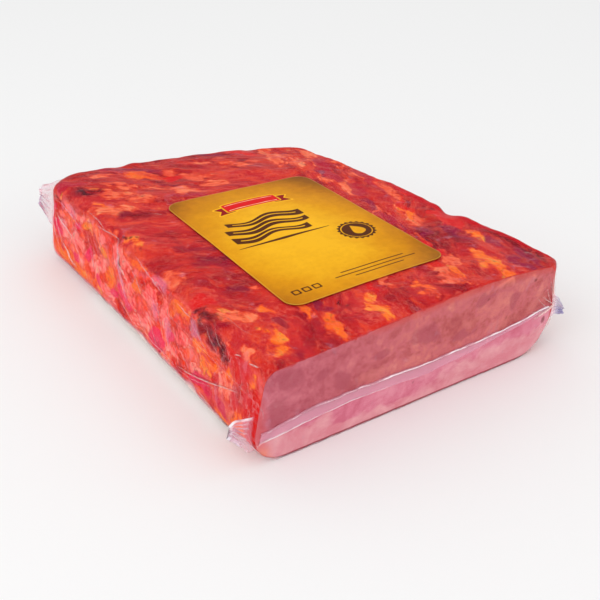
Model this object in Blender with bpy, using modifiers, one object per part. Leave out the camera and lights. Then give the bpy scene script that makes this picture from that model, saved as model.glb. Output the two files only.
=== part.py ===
"""A vacuum-packed slab of smoked bacon, lying flat, with a label on its top.

The slab is a block of pork belly with one clean cut face. It sits in a tube of
clear film that is welded shut across the cut face and across the back. Each
weld lies flat on the meat as a narrow band and ends in a gathered ear of spare
film at either side. The label is a thin card that follows the top.

Metres, +Z up. The origin is the middle of the flat underside. The cut face
looks along -Y and the back along +Y.
"""
import math

import bmesh
import bpy
import numpy as np
from mathutils import Vector, noise

MM = 0.001

# The slab as a plain block: width across the cut face, depth behind it, and
# thickness at the left end of the cut face.
WIDTH = 203.5 * MM
DEPTH = 266 * MM
THICKNESS = 53.5 * MM

# How the thickness changes towards the other three corners, and how far the
# top swells in the middle and along the cut edge.
THICKER_FRONT_RIGHT = 2.5 * MM
THICKER_BACK_LEFT = 1.9 * MM
THICKER_BACK_RIGHT = -4.8 * MM
MIDDLE_SWELL = 1.7 * MM
CUT_EDGE_SWELL = 5.3 * MM
CUT_EDGE_SWELL_LEAN = 1.8       # above 1 moves the swell's peak to the right
CUT_EDGE_SWELL_REACH = 62 * MM

# The plan: where the corners stand, and the bows of the three sides.
FRONT_RIGHT_SHIFT = 2 * MM
BACK_LEFT_SHIFT = -6.3 * MM
BACK_RIGHT_SHIFT = -18.9 * MM
BACK_SKEW = 17.3 * MM           # the left side is longer than the right by this
LEFT_HOLLOW = 2.1 * MM
RIGHT_BOW = 2.8 * MM
BACK_BOW = 10.1 * MM
RIGHT_BULGE = 12 * MM           # the right side swells out just behind the cut
RIGHT_BULGE_REACH = 12 * MM

# The lean of each side from foot to top, and the rounding of the edges.
LEFT_LEAN = 9.9 * MM
RIGHT_LEAN = 5.4 * MM
BACK_LEAN = 2 * MM
CORNER_BACK_LEFT = 17 * MM
CORNER_BACK_RIGHT = 22 * MM
TOP_ROUND = {"left": 7.8 * MM, "right": 4.5 * MM, "back": 7.8 * MM}
FOOT_ROUND = {"left": 14 * MM, "right": 21 * MM, "back": 16 * MM}
CUT_FOOT_EXTRA = {"left": 8 * MM, "right": 6 * MM}  # rounder still at the cut face
CUT_EXTRA_REACH = 45 * MM
CUT_EDGE_BEVEL = 1.1 * MM

# The uneven smoked surface: broad swells, and smaller lumps on them.
SWELL_SIZE = 46 * MM
SWELL_HEIGHT = 2.4 * MM
LUMP_SIZE = 19 * MM
LUMP_HEIGHT = 1.44 * MM
CALM_CUT_FACE = 0.3             # share of the lumps that the cut face keeps
CALM_UNDER_LABEL = 0.12         # share that is left under the label
CALM_MARGIN = 14 * MM
FLAT_FOOT = 1.5 * MM            # the underside is flat up to this height
LUMPS_FULL_FROM = 14 * MM
# Bumps and dents along the two far edges, in millimetres: x, y, reach, height.
EDGE_BUMPS = (
    (84, 112, 14, 1.8), (97, 38, 12, 2.0), (99, 2, 18, 1.4), (103, -40, 9, -4.5),
    (105, -66, 8, -1.5), (104, -98, 12, 0.6), (54, 127, 8, -1.2), (-2, 136, 8, -0.8),
    (-37, 139, 6, 1.2), (-47, 138, 6, -0.8), (-88, 136, 10, -1.1),
)

# The label: an A6 card, just right of the middle and nearer the cut face.
LABEL_WIDTH = 105 * MM
LABEL_LENGTH = 148 * MM
LABEL_CORNER = 9 * MM
LABEL_CENTRE = (1.0 * MM, -18.8 * MM)
LABEL_THICKNESS = 0.4 * MM
LABEL_GAP = 0.3 * MM

# The welded bands of film: how far they stand off the meat, and the levels of
# their upper and lower edge in millimetres at shares of the way to the right.
BAND_STAND_OFF = 1.2 * MM
BAND_SUNK = 1.5 * MM
BAND_STOPS = (0.0, 0.07, 0.15, 0.30, 0.42, 0.52, 0.70, 0.80, 0.90, 1.0)
BAND_UPPER = (19.5, 21.6, 23.0, 23.1, 22.2, 21.4, 21.9, 22.8, 24.9, 28.6)
BAND_LOWER = (15.0, 15.1, 16.6, 17.7, 16.7, 15.2, 17.5, 20.0, 22.9, 27.0)
BAND_END_GAP = 3 * MM
BAND_FLARE = 0.45               # a band is this much lower where it sinks in the meat

# The ears: (name, side, at the back, length, height at root and tip, level at
# root and tip), one at each end of each band.
EAR_SIZES = (
    ("ear_front_left", -1, False, 14 * MM, 21 * MM, 7 * MM, 20 * MM, 27 * MM),
    ("ear_front_right", 1, False, 8.6 * MM, 15 * MM, 5 * MM, 26.5 * MM, 21 * MM),
    ("ear_back_left", -1, True, 11 * MM, 31 * MM, 11 * MM, 36 * MM, 44 * MM),
    ("ear_back_right", 1, True, 12 * MM, 22 * MM, 8 * MM, 25 * MM, 27 * MM),
)
EAR_FILM = 1.8 * MM
EAR_ROLL = 1.4 * MM             # extra thickness of the rolled tip
EAR_RIPPLE = 1.3 * MM
EAR_RIPPLES = 1.5
EAR_ROOT_DEPTH = 7 * MM
EAR_SET_BACK = 2.2 * MM         # the front ears stand this far behind the cut face
EAR_BACK_IN = 0.25              # the back ears stand in and forward by these shares
EAR_BACK_FORWARD = 0.5          # of their corner's radius

# Cells of each block: across, deep, high.
SLAB_CELLS = (30, 38, 10)
BAND_CELLS = (34, 1, 2)
EAR_CELLS = (8, 1, 6)
LABEL_CELLS = (14, 18)
EDGE_CROWDING = 0.6             # cells at the edges are this much narrower


def clear_scene():
    """Removes what a new file holds, so that only the model is left."""
    for leftover in list(bpy.data.objects):
        bpy.data.objects.remove(leftover, do_unlink=True)


def new_collection(name):
    """Makes a collection under the scene's own."""
    collection = bpy.data.collections.new(name)
    bpy.context.scene.collection.children.link(collection)
    return collection


def finish_material(name, colour, roughness):
    """Makes one plain Principled material."""
    material = bpy.data.materials.new(name)
    material.use_nodes = True
    surface = material.node_tree.nodes["Principled BSDF"]
    surface.inputs["Base Color"].default_value = (*colour, 1.0)
    surface.inputs["Roughness"].default_value = roughness
    surface.inputs["Metallic"].default_value = 0.0
    return material


def ease(value):
    """Goes from 0 to 1 with a soft start and end."""
    value = min(max(value, 0.0), 1.0)
    return value * value * (3.0 - 2.0 * value)


def crowded(step, steps):
    """Share of the way at a step, with the steps closer at both ends."""
    share = step / steps
    return share - EDGE_CROWDING * math.sin(2.0 * math.pi * share) / (2.0 * math.pi)


def cut_block(cells, crowd):
    """A unit cube from 0 to 1, cut into cells along each axis."""
    block = bmesh.new()
    bmesh.ops.create_cube(block, size=1.0)
    bmesh.ops.translate(block, verts=block.verts, vec=Vector((0.5, 0.5, 0.5)))
    for axis, steps in enumerate(cells):
        across = Vector((0.0, 0.0, 0.0))
        across[axis] = 1.0
        for step in range(1, steps):
            share = crowded(step, steps) if crowd else step / steps
            bmesh.ops.bisect_plane(
                block, geom=block.verts[:] + block.edges[:] + block.faces[:],
                plane_co=across * share, plane_no=across, dist=1e-6)
    return block


def mesh_object(name, block, collection):
    """Turns a bmesh into an object with its normals facing out."""
    bmesh.ops.recalc_face_normals(block, faces=block.faces[:])
    mesh = bpy.data.meshes.new(name)
    block.to_mesh(mesh)
    block.free()
    mesh.shade_smooth()
    mesh.set_sharp_from_angle(angle=math.radians(40.0))
    made = bpy.data.objects.new(name, mesh)
    collection.objects.link(made)
    return made


def square_to_round(a, b):
    """Carries a point of the unit corner square into the unit quarter disc."""
    return a * math.sqrt(1.0 - b * b / 2.0), b * math.sqrt(1.0 - a * a / 2.0)


def round_plan(x, y):
    """Rounds the block's two upright corners at the back."""
    for side, radius in ((-1, CORNER_BACK_LEFT), (1, CORNER_BACK_RIGHT)):
        middle_x = WIDTH / 2.0 - radius
        middle_y = DEPTH - radius
        out_x = (side * x - middle_x) / radius
        out_y = (y - middle_y) / radius
        if out_x > 0.0 and out_y > 0.0:
            out_x, out_y = square_to_round(out_x, out_y)
            return side * (middle_x + out_x * radius), middle_y + out_y * radius
    return x, y


def nearest_border(x, y):
    """Distance to the left, right or back border, and the way out to it."""
    for side, radius in ((-1, CORNER_BACK_LEFT), (1, CORNER_BACK_RIGHT)):
        out_x = side * x - (WIDTH / 2.0 - radius)
        out_y = y - (DEPTH - radius)
        reach = math.hypot(out_x, out_y)
        if out_x > 0.0 and out_y > 0.0 and reach > 0.0:
            return radius - reach, side * out_x / reach, out_y / reach
    return min((WIDTH / 2.0 + x, -1.0, 0.0), (WIDTH / 2.0 - x, 1.0, 0.0), (DEPTH - y, 0.0, 1.0))


def round_edges(x, y, z):
    """Rounds the top and foot edges; the radius changes round the corners."""
    gap, way_x, way_y = nearest_border(x, y)
    side = "left" if way_x < 0.0 else "right"
    foot_extra = (1.0 - ease(y / CUT_EXTRA_REACH)) * CUT_FOOT_EXTRA[side]
    ends = ((TOP_ROUND, 0.0, THICKNESS - z, 1.0), (FOOT_ROUND, foot_extra, z, -1.0))
    for radii, extra, depth, sign in ends:
        radius = way_y ** 2 * radii["back"] + way_x ** 2 * (radii[side] + extra)
        out = 1.0 - gap / radius
        rise = 1.0 - depth / radius
        if out > 0.0 and rise > 0.0:
            new_out, new_rise = square_to_round(out, rise)
            move = (new_out - out) * radius
            return x + way_x * move, y + way_y * move, z + sign * (new_rise - rise) * radius
    return x, y, z


def thickness_at(x, y):
    """Thickness of the slab where the plan point is x across and y deep."""
    u = min(max(x / WIDTH + 0.5, 0.0), 1.0)
    v = min(max(y / DEPTH, 0.0), 1.0)
    corners = u * (1.0 - v) * THICKER_FRONT_RIGHT
    corners += (1.0 - u) * v * THICKER_BACK_LEFT + u * v * THICKER_BACK_RIGHT
    middle = 16.0 * u * (1.0 - u) * v * (1.0 - v) * MIDDLE_SWELL
    edge = math.sin(math.pi * u ** CUT_EDGE_SWELL_LEAN) * (1.0 - ease(y / CUT_EDGE_SWELL_REACH))
    return THICKNESS + corners + middle + edge * CUT_EDGE_SWELL


def slab_form(x, y, z):
    """Carries a point of the plain block to the leaning, bowed, uneven slab."""
    share = z / THICKNESS
    u = x / WIDTH + 0.5
    v = y / DEPTH
    x += share * (LEFT_LEAN * (1.0 - u) - RIGHT_LEAN * u)
    y -= share * BACK_LEAN * v
    u = x / WIDTH + 0.5
    v = y / DEPTH
    bow_x = 4.0 * v * (1.0 - v) * (u * RIGHT_BOW + (1.0 - u) * LEFT_HOLLOW)
    bow_x += u * RIGHT_BULGE * (1.0 - (1.0 - min(max(y / RIGHT_BULGE_REACH, 0.0), 1.0)) ** 2)
    bow_y = v * 4.0 * u * (1.0 - u) * BACK_BOW
    x += v * ((1.0 - u) * BACK_LEFT_SHIFT + u * BACK_RIGHT_SHIFT) + bow_x
    x += (1.0 - v) * u * FRONT_RIGHT_SHIFT
    y += v * BACK_SKEW * (0.5 - u) + bow_y
    return Vector((x, y - DEPTH / 2.0, share * thickness_at(x, y)))


def label_calm(x, y):
    """Share of the lumps that is left at a place on the top, near the label."""
    away_x = abs(x - LABEL_CENTRE[0]) - LABEL_WIDTH / 2.0
    away_y = abs(y - LABEL_CENTRE[1]) - LABEL_LENGTH / 2.0
    away = max(away_x, away_y)
    return CALM_UNDER_LABEL + (1.0 - CALM_UNDER_LABEL) * ease(away / CALM_MARGIN)


def lump_at(place):
    """Height of the uneven surface over the smooth form."""
    swell = noise.noise(place / SWELL_SIZE) * SWELL_HEIGHT
    lump = noise.noise(place / LUMP_SIZE + Vector((7.3, 2.1, 5.9))) * LUMP_HEIGHT
    height = swell + lump
    for x, y, reach, bump in EDGE_BUMPS:
        away = math.hypot(place.x - x * MM, place.y - y * MM) / (reach * MM)
        height += bump * MM * math.exp(-away * away)
    return height


def lump_share(place, way):
    """How much of the lumps a place keeps: none at the foot, few on the cut face."""
    share = ease((place.z - FLAT_FOOT) / (LUMPS_FULL_FROM - FLAT_FOOT))
    share *= 1.0 - (1.0 - CALM_CUT_FACE) * ease(-way.y)
    top = ease(way.z)
    return share * (1.0 - top + top * label_calm(place.x, place.y))


def top_at(x, y):
    """Height of the slab's top at a place on its plan."""
    height = thickness_at(x, y + DEPTH / 2.0)
    place = Vector((x, y, height))
    return height + lump_at(place) * lump_share(place, Vector((0.0, 0.0, 1.0)))


def bevel_cut_edge(slab):
    """Takes the knife-sharp edge off the outline of the cut face."""
    mesh = slab.data
    weight = mesh.attributes.new("bevel_weight_edge", "FLOAT", "EDGE")
    on_cut = [vertex.co.y < -DEPTH / 2.0 + 2.0 * MM for vertex in mesh.vertices]
    uses = {}
    for face in mesh.polygons:
        flat = all(on_cut[index] for index in face.vertices)
        for key in face.edge_keys:
            uses.setdefault(key, []).append(flat)
    for edge in mesh.edges:
        sides = uses[edge.key]
        weight.data[edge.index].value = 1.0 if sides[0] != sides[1] else 0.0
    bevel = slab.modifiers.new("cut_edge", "BEVEL")
    bevel.limit_method = "WEIGHT"
    bevel.width = CUT_EDGE_BEVEL
    bevel.segments = 2


def make_slab(collection):
    """The meat under its tight film: one block, rounded, shaped and lumpy."""
    block = cut_block(SLAB_CELLS, crowd=True)
    for vertex in block.verts:
        x = (vertex.co.x - 0.5) * WIDTH
        y = vertex.co.y * DEPTH
        z = vertex.co.z * THICKNESS
        x, y = round_plan(x, y)
        vertex.co = slab_form(*round_edges(x, y, z))
    block.normal_update()
    moves = [(vertex, vertex.normal * lump_at(vertex.co) * lump_share(vertex.co, vertex.normal))
             for vertex in block.verts]
    for vertex, move in moves:
        vertex.co += move
    slab = mesh_object("bacon_pack", block, collection)
    bevel_cut_edge(slab)
    return slab


def make_band(name, at_back, collection):
    """A welded band of film, pressed flat on the cut face or on the back."""
    block = cut_block(BAND_CELLS, crowd=False)
    for vertex in block.verts:
        share, off, up = vertex.co
        x = (share - 0.5) * (WIDTH - 2.0 * BAND_END_GAP)
        upper = np.interp(share, BAND_STOPS, BAND_UPPER) * MM
        lower = np.interp(share, BAND_STOPS, BAND_LOWER) * MM
        sunk = 1.0 - off if at_back else off
        flare = 1.0 - BAND_FLARE * sunk
        z = (upper + lower) / 2.0 + (up - 0.5) * (upper - lower) * flare
        y = -BAND_STAND_OFF + off * (BAND_STAND_OFF + BAND_SUNK)
        if at_back:
            x, y = round_plan(x, DEPTH - BAND_SUNK + off * (BAND_STAND_OFF + BAND_SUNK))
        vertex.co = slab_form(x, y, z)
    return mesh_object(name, block, collection)


def make_ear(sizes, collection):
    """A gathered flap of spare film at the end of a band, with a rolled tip."""
    name, side, at_back, length, root_high, tip_high, root_level, tip_level = sizes
    block = cut_block(EAR_CELLS, crowd=False)
    corner = CORNER_BACK_LEFT if side < 0 else CORNER_BACK_RIGHT
    for vertex in block.verts:
        out, off, up = vertex.co
        up -= 0.5
        reach = out * (length + EAR_ROOT_DEPTH) - EAR_ROOT_DEPTH
        free = max(reach / length, 0.0)
        blunt = math.sqrt(1.0 - 0.8 * ease((free - 0.6) / 0.4))
        high = (root_high + (tip_high - root_high) * free) * blunt
        thick = EAR_FILM + EAR_ROLL * ease((free - 0.55) / 0.45)
        ripple = EAR_RIPPLE * free * math.sin(2.0 * math.pi * (EAR_RIPPLES * up + 0.3 * side))
        x = side * (WIDTH / 2.0 + reach)
        y = EAR_SET_BACK
        if at_back:
            x -= side * corner * EAR_BACK_IN
            y += DEPTH - corner * EAR_BACK_FORWARD
        z = root_level + (tip_level - root_level) * ease(free) + up * high
        vertex.co = slab_form(x, y, z) + Vector((0.0, (off - 0.5) * thick + ripple, 0.0))
    return mesh_object(name, block, collection)


def fuse(base, pieces, collection):
    """Joins the pieces to the base in one union and keeps a single object."""
    join = base.modifiers.new("fuse", "BOOLEAN")
    join.operation = "UNION"
    join.operand_type = "COLLECTION"
    join.collection = pieces
    join.solver = "EXACT"
    bpy.context.view_layer.update()
    evaluated = base.evaluated_get(bpy.context.evaluated_depsgraph_get())
    mesh = bpy.data.meshes.new_from_object(evaluated)
    mesh.name = base.name
    name = base.name
    bpy.data.objects.remove(base, do_unlink=True)
    for piece in list(pieces.objects):
        bpy.data.objects.remove(piece, do_unlink=True)
    bpy.data.collections.remove(pieces)
    fused = bpy.data.objects.new(name, mesh)
    collection.objects.link(fused)
    return fused


def make_label(collection):
    """A thin card with round corners that follows the top of the slab."""
    steps_x, steps_y = LABEL_CELLS
    sheet = bmesh.new()
    bmesh.ops.create_grid(sheet, x_segments=steps_x, y_segments=steps_y, size=0.5)
    half_x = LABEL_WIDTH / 2.0
    half_y = LABEL_LENGTH / 2.0
    for vertex in sheet.verts:
        share_x = crowded((vertex.co.x + 0.5) * steps_x, steps_x)
        share_y = crowded((vertex.co.y + 0.5) * steps_y, steps_y)
        x = (share_x - 0.5) * LABEL_WIDTH
        y = (share_y - 0.5) * LABEL_LENGTH
        out_x = (abs(x) - half_x) / LABEL_CORNER + 1.0
        out_y = (abs(y) - half_y) / LABEL_CORNER + 1.0
        if out_x > 0.0 and out_y > 0.0:
            out_x, out_y = square_to_round(out_x, out_y)
            x = math.copysign(half_x + (out_x - 1.0) * LABEL_CORNER, x)
            y = math.copysign(half_y + (out_y - 1.0) * LABEL_CORNER, y)
        x += LABEL_CENTRE[0]
        y += LABEL_CENTRE[1]
        vertex.co = Vector((x, y, top_at(x, y) + LABEL_GAP))
    label = mesh_object("label", sheet, collection)
    if label.data.polygons[0].normal.z < 0.0:
        label.data.flip_normals()
    card = label.modifiers.new("card", "SOLIDIFY")
    card.thickness = LABEL_THICKNESS
    card.offset = 1.0
    return label


def main():
    """Builds the pack and its label."""
    clear_scene()
    bacon = new_collection("smoked_bacon_slab")
    film_pieces = new_collection("film_pieces")
    slab = make_slab(bacon)
    make_band("band_front", False, film_pieces)
    make_band("band_back", True, film_pieces)
    for sizes in EAR_SIZES:
        make_ear(sizes, film_pieces)
    pack = fuse(slab, film_pieces, bacon)
    pack.data.materials.clear()
    pack.data.materials.append(finish_material("smoked_bacon_in_film", (0.52, 0.07, 0.045), 0.25))
    label = make_label(bacon)
    label.data.materials.append(finish_material("gold_label", (0.72, 0.50, 0.06), 0.35))


main()
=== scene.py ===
"""The finish of a vacuum-packed slab of smoked bacon with a gold card label.

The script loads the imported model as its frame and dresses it: the smoked meat
with its cut face, the clear film drawn tight over it with its welded bands,
gathered ears and folds, and the printed card on the top. The last piece is the
stage: a pale floor, soft light and the camera. Sizes are in millimetres until a
mesh is made of them.
"""
import math
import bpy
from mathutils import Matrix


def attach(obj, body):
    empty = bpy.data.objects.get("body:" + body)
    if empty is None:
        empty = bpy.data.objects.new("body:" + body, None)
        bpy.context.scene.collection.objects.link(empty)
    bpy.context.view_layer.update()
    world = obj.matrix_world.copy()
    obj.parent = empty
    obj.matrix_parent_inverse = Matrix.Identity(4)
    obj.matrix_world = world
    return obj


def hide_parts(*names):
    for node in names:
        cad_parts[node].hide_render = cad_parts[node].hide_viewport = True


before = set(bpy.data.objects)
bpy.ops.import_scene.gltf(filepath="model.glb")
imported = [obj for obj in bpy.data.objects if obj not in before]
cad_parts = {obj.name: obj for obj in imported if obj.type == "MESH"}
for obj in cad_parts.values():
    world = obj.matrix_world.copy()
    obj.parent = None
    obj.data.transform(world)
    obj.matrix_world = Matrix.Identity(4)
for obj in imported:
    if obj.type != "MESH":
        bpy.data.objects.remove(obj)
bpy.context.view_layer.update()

from types import SimpleNamespace

import bmesh
import bpy
import numpy as np
from bpy.props import FloatProperty, FloatVectorProperty, IntProperty, PointerProperty
from mathutils import Matrix, Vector, noise
from mathutils.bvhtree import BVHTree

bl_info = {
    "name": "Smoked bacon in film",
    "version": (1, 0, 0),
    "blender": (4, 5, 0),
    "location": "View3D > Sidebar > Bacon",
    "description": "Builds a slab of smoked bacon in clear film, with its card label",
    "category": "Object",
}

MM = 0.001

# ---------------------------------------------------------------- the slab's form
# The plain block: width across the cut face, depth behind it, and thickness at
# the left end of the cut face.
WIDTH, DEPTH, THICKNESS = 203.5, 266.0, 53.5
THICKER_FRONT_RIGHT, THICKER_BACK_LEFT, THICKER_BACK_RIGHT = 2.5, 1.9, -4.8
MIDDLE_SWELL = 1.7
CUT_EDGE_SWELL, CUT_EDGE_SWELL_LEAN, CUT_EDGE_SWELL_REACH = 5.3, 1.8, 62.0
FRONT_RIGHT_SHIFT, BACK_LEFT_SHIFT, BACK_RIGHT_SHIFT = 2.0, -6.3, -18.9
BACK_SKEW, BACK_BOW = 17.3, 10.1
LEFT_HOLLOW, RIGHT_BOW, RIGHT_BULGE, RIGHT_BULGE_REACH = 2.1, 2.8, 12.0, 12.0
LEFT_LEAN, RIGHT_LEAN, BACK_LEAN = 9.9, 5.4, 2.0
# Radii of the upright corners at the back, by side, and of the top and foot
# edges at the left, the right and the back.
CORNER = {-1: 17.0, 1: 22.0}
TOP_ROUND = (7.8, 4.5, 7.8)
FOOT_ROUND = (14.0, 21.0, 16.0)
CUT_FOOT_EXTRA, CUT_EXTRA_REACH = (8.0, 6.0), 45.0
SWELL_SIZE, SWELL_HEIGHT = 46.0, 2.4
LUMP_SIZE, LUMP_HEIGHT, LUMP_SHIFT = 19.0, 1.44, (7.3, 2.1, 5.9)
CALM_CUT_FACE, CALM_UNDER_LABEL, CALM_MARGIN = 0.3, 0.12, 14.0
FLAT_FOOT, LUMPS_FULL_FROM = 1.5, 14.0
# Mesh cells along the depth and the height for each one across, and how much
# they crowd at the edges; then the six sides of the mesh by number.
CELLS_DEEP, CELLS_HIGH, EDGE_CROWDING = 1.32, 0.27, 0.45
SIDES = ("left", "right", "cut", "back", "foot", "top")
# Bumps and dents along the two far edges: x, y, reach, height.
EDGE_BUMPS = (
    (84, 112, 14, 1.8), (97, 38, 12, 2.0), (99, 2, 18, 1.4), (103, -40, 9, -4.5),
    (105, -66, 8, -1.5), (104, -98, 12, 0.6), (54, 127, 8, -1.2), (-2, 136, 8, -0.8),
    (-37, 139, 6, 1.2), (-47, 138, 6, -0.8), (-88, 136, 10, -1.1),
)

LABEL_SIZE = np.array((105.0, 148.0))
LABEL_CENTRE = np.array((1.0, -18.8))
LABEL_CORNER, LABEL_THICKNESS, LABEL_GAP = 9.0, 0.4, 0.3

# The welded bands: levels of their lower and upper edge on the plain block, at
# shares of the way to the right.
BAND_STOPS = (0.0, 0.07, 0.15, 0.30, 0.42, 0.52, 0.70, 0.80, 0.90, 1.0)
BAND_LOWER = (15.0, 15.1, 16.6, 17.7, 16.7, 15.2, 17.5, 20.0, 22.9, 27.0)
BAND_UPPER = (19.5, 21.6, 23.0, 23.1, 22.2, 21.4, 21.9, 22.8, 24.9, 28.6)
BAND_END_GAP = 3.0

# The gathered ears: side, at the back, length, height at root and tip, level at root and tip;
# then how white its body is, how strong the painted highlights on its pleats and its rolled rim
# are, and how much painted shade in violet it has where it turns under.
EARS = {
    "ear_front_left": (-1, False, 14, 21, 7, 20, 27, 0.26, 0.60, 0.42, 0.1),
    "ear_front_right": (1, False, 8.6, 15, 5, 26.5, 21, 0.75, 0.60, 0.40, 0.7),
    "ear_back_left": (-1, True, 11, 31, 11, 36, 44, 0.30, 0.26, 0.40, 0.35),
    "ear_back_right": (1, True, 12, 22, 8, 25, 27, 0.30, 0.35, 0.25, 0.2),
}
EAR_ROOT_DEPTH, EAR_SET_BACK = 7.0, 2.2

MEAT_INSET = 0.55               # the meat lies this far inside the film
STREAK_WAY = Vector((0.80, -0.52, -0.28)).normalized()
FRONT_STREAK_WAY = Vector((0.26, 0.96, 0.0)).normalized()
WRINKLE_WAY = Vector((0.25, -0.62, -0.74)).normalized()


def ease(value):
    """Goes from 0 to 1 with a soft start and end."""
    value = np.clip(value, 0.0, 1.0)
    return value * value * (3.0 - 2.0 * value)


def noise_at(places, size, shift=0.0):
    """Smooth seeded noise between about -1 and 1 at each place."""
    away = Vector(shift) if isinstance(shift, tuple) else shift * Vector((1.0, -1.7, 0.6))
    return np.array([noise.noise(Vector(place) / size + away) for place in places])


def rounded(a, b):
    """Carries points of the unit corner square into the unit quarter disc."""
    here = (a > 0.0) & (b > 0.0)
    square_a, square_b = (np.where(here, side * side, 0.0) for side in (a, b))
    return a * np.sqrt(1.0 - square_b / 2.0), b * np.sqrt(1.0 - square_a / 2.0)


def round_plan(x, y):
    """Rounds the block's two upright corners at the back."""
    for side, radius in CORNER.items():
        middle_x, middle_y = WIDTH / 2.0 - radius, DEPTH - radius
        out_x, out_y = rounded((side * x - middle_x) / radius, (y - middle_y) / radius)
        x, y = side * (middle_x + out_x * radius), middle_y + out_y * radius
    return x, y


def nearest_border(x, y):
    """Distance to the left, right or back border, and the way out to it."""
    gaps = np.stack([WIDTH / 2.0 + x, WIDTH / 2.0 - x, DEPTH - y])
    gap, near = gaps.min(0), gaps.argmin(0)
    way_x, way_y = np.choose(near, [-1.0, 1.0, 0.0]), np.choose(near, [0.0, 0.0, 1.0])
    for side, radius in CORNER.items():
        out_x, out_y = side * x - (WIDTH / 2.0 - radius), y - (DEPTH - radius)
        reach = np.maximum(np.hypot(out_x, out_y), 1e-9)
        here = (out_x > 0.0) & (out_y > 0.0)
        gap = np.where(here, radius - reach, gap)
        way_x = np.where(here, side * out_x / reach, way_x)
        way_y = np.where(here, out_y / reach, way_y)
    return gap, way_x, way_y


def round_edges(x, y, z):
    """Rounds the top and foot edges; the radius changes round the corners."""
    gap, way_x, way_y = nearest_border(x, y)
    left = way_x < 0.0
    foot_extra = np.where(left, *CUT_FOOT_EXTRA) * (1.0 - ease(y / CUT_EXTRA_REACH))
    new_x, new_y, new_z = x.copy(), y.copy(), z.copy()
    for (*sides, back), extra, depth, sign in (
            (TOP_ROUND, 0.0, THICKNESS - z, 1.0), (FOOT_ROUND, foot_extra, z, -1.0)):
        radius = way_y ** 2 * back + way_x ** 2 * (np.where(left, *sides) + extra)
        out, rise = 1.0 - gap / radius, 1.0 - depth / radius
        new_out, new_rise = rounded(out, rise)
        new_x += way_x * (new_out - out) * radius
        new_y += way_y * (new_out - out) * radius
        new_z += sign * (new_rise - rise) * radius
    return new_x, new_y, new_z


def thickness_at(x, y):
    """Thickness of the slab where the plan point is x across and y deep."""
    u = np.clip(x / WIDTH + 0.5, 0.0, 1.0)
    v = np.clip(y / DEPTH, 0.0, 1.0)
    corners = u * (1.0 - v) * THICKER_FRONT_RIGHT
    corners += (1.0 - u) * v * THICKER_BACK_LEFT + u * v * THICKER_BACK_RIGHT
    middle = 16.0 * u * (1.0 - u) * v * (1.0 - v) * MIDDLE_SWELL
    edge = np.sin(math.pi * u ** CUT_EDGE_SWELL_LEAN) * (1.0 - ease(y / CUT_EDGE_SWELL_REACH))
    return THICKNESS + corners + middle + edge * CUT_EDGE_SWELL


def slab_form(x, y, z):
    """Carries points of the plain block to the leaning, bowed, uneven slab."""
    share = z / THICKNESS
    u, v = x / WIDTH + 0.5, y / DEPTH
    x = x + share * (LEFT_LEAN * (1.0 - u) - RIGHT_LEAN * u)
    y = y - share * BACK_LEAN * v
    u, v = x / WIDTH + 0.5, y / DEPTH
    bow_x = 4.0 * v * (1.0 - v) * (u * RIGHT_BOW + (1.0 - u) * LEFT_HOLLOW)
    bow_x += u * RIGHT_BULGE * (1.0 - (1.0 - np.clip(y / RIGHT_BULGE_REACH, 0.0, 1.0)) ** 2)
    x = x + v * ((1.0 - u) * BACK_LEFT_SHIFT + u * BACK_RIGHT_SHIFT) + bow_x
    x = x + (1.0 - v) * u * FRONT_RIGHT_SHIFT
    y = y + v * BACK_SKEW * (0.5 - u) + v * 4.0 * u * (1.0 - u) * BACK_BOW
    return np.stack([x, y - DEPTH / 2.0, share * thickness_at(x, y)], -1)


def lump_at(places, ways):
    """Height of the uneven surface over the smooth form.

    There is none at the foot, and little on the cut face and under the card.
    """
    height = noise_at(places, SWELL_SIZE) * SWELL_HEIGHT
    height += noise_at(places, LUMP_SIZE, LUMP_SHIFT) * LUMP_HEIGHT
    for x, y, reach, bump in EDGE_BUMPS:
        height += bump * np.exp(-((places[:, 0] - x) ** 2 + (places[:, 1] - y) ** 2) / reach ** 2)
    share = ease((places[:, 2] - FLAT_FOOT) / (LUMPS_FULL_FROM - FLAT_FOOT))
    share *= 1.0 - (1.0 - CALM_CUT_FACE) * ease(-ways[:, 1])
    away = (np.abs(places[:, :2] - LABEL_CENTRE) - LABEL_SIZE / 2.0).max(1)
    calm = CALM_UNDER_LABEL + (1.0 - CALM_UNDER_LABEL) * ease(away / CALM_MARGIN)
    top = ease(ways[:, 2])
    return height * share * (1.0 - top + top * calm)


def top_at(x, y):
    """Height of the film's top at places on its plan."""
    height = thickness_at(x, y + DEPTH / 2.0)
    up = np.tile((0.0, 0.0, 1.0), (len(x), 1))
    return height + lump_at(np.stack([x, y, height], -1), up)


def corner_ways(points, quads):
    """The outward way at each point of a mesh of quads."""
    flat = np.cross(points[quads[:, 2]] - points[quads[:, 0]],
                    points[quads[:, 3]] - points[quads[:, 1]])
    ways = np.zeros_like(points)
    for corner in range(4):
        np.add.at(ways, quads[:, corner], flat)
    return ways / np.maximum(np.linalg.norm(ways, axis=1, keepdims=True), 1e-12)


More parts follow.
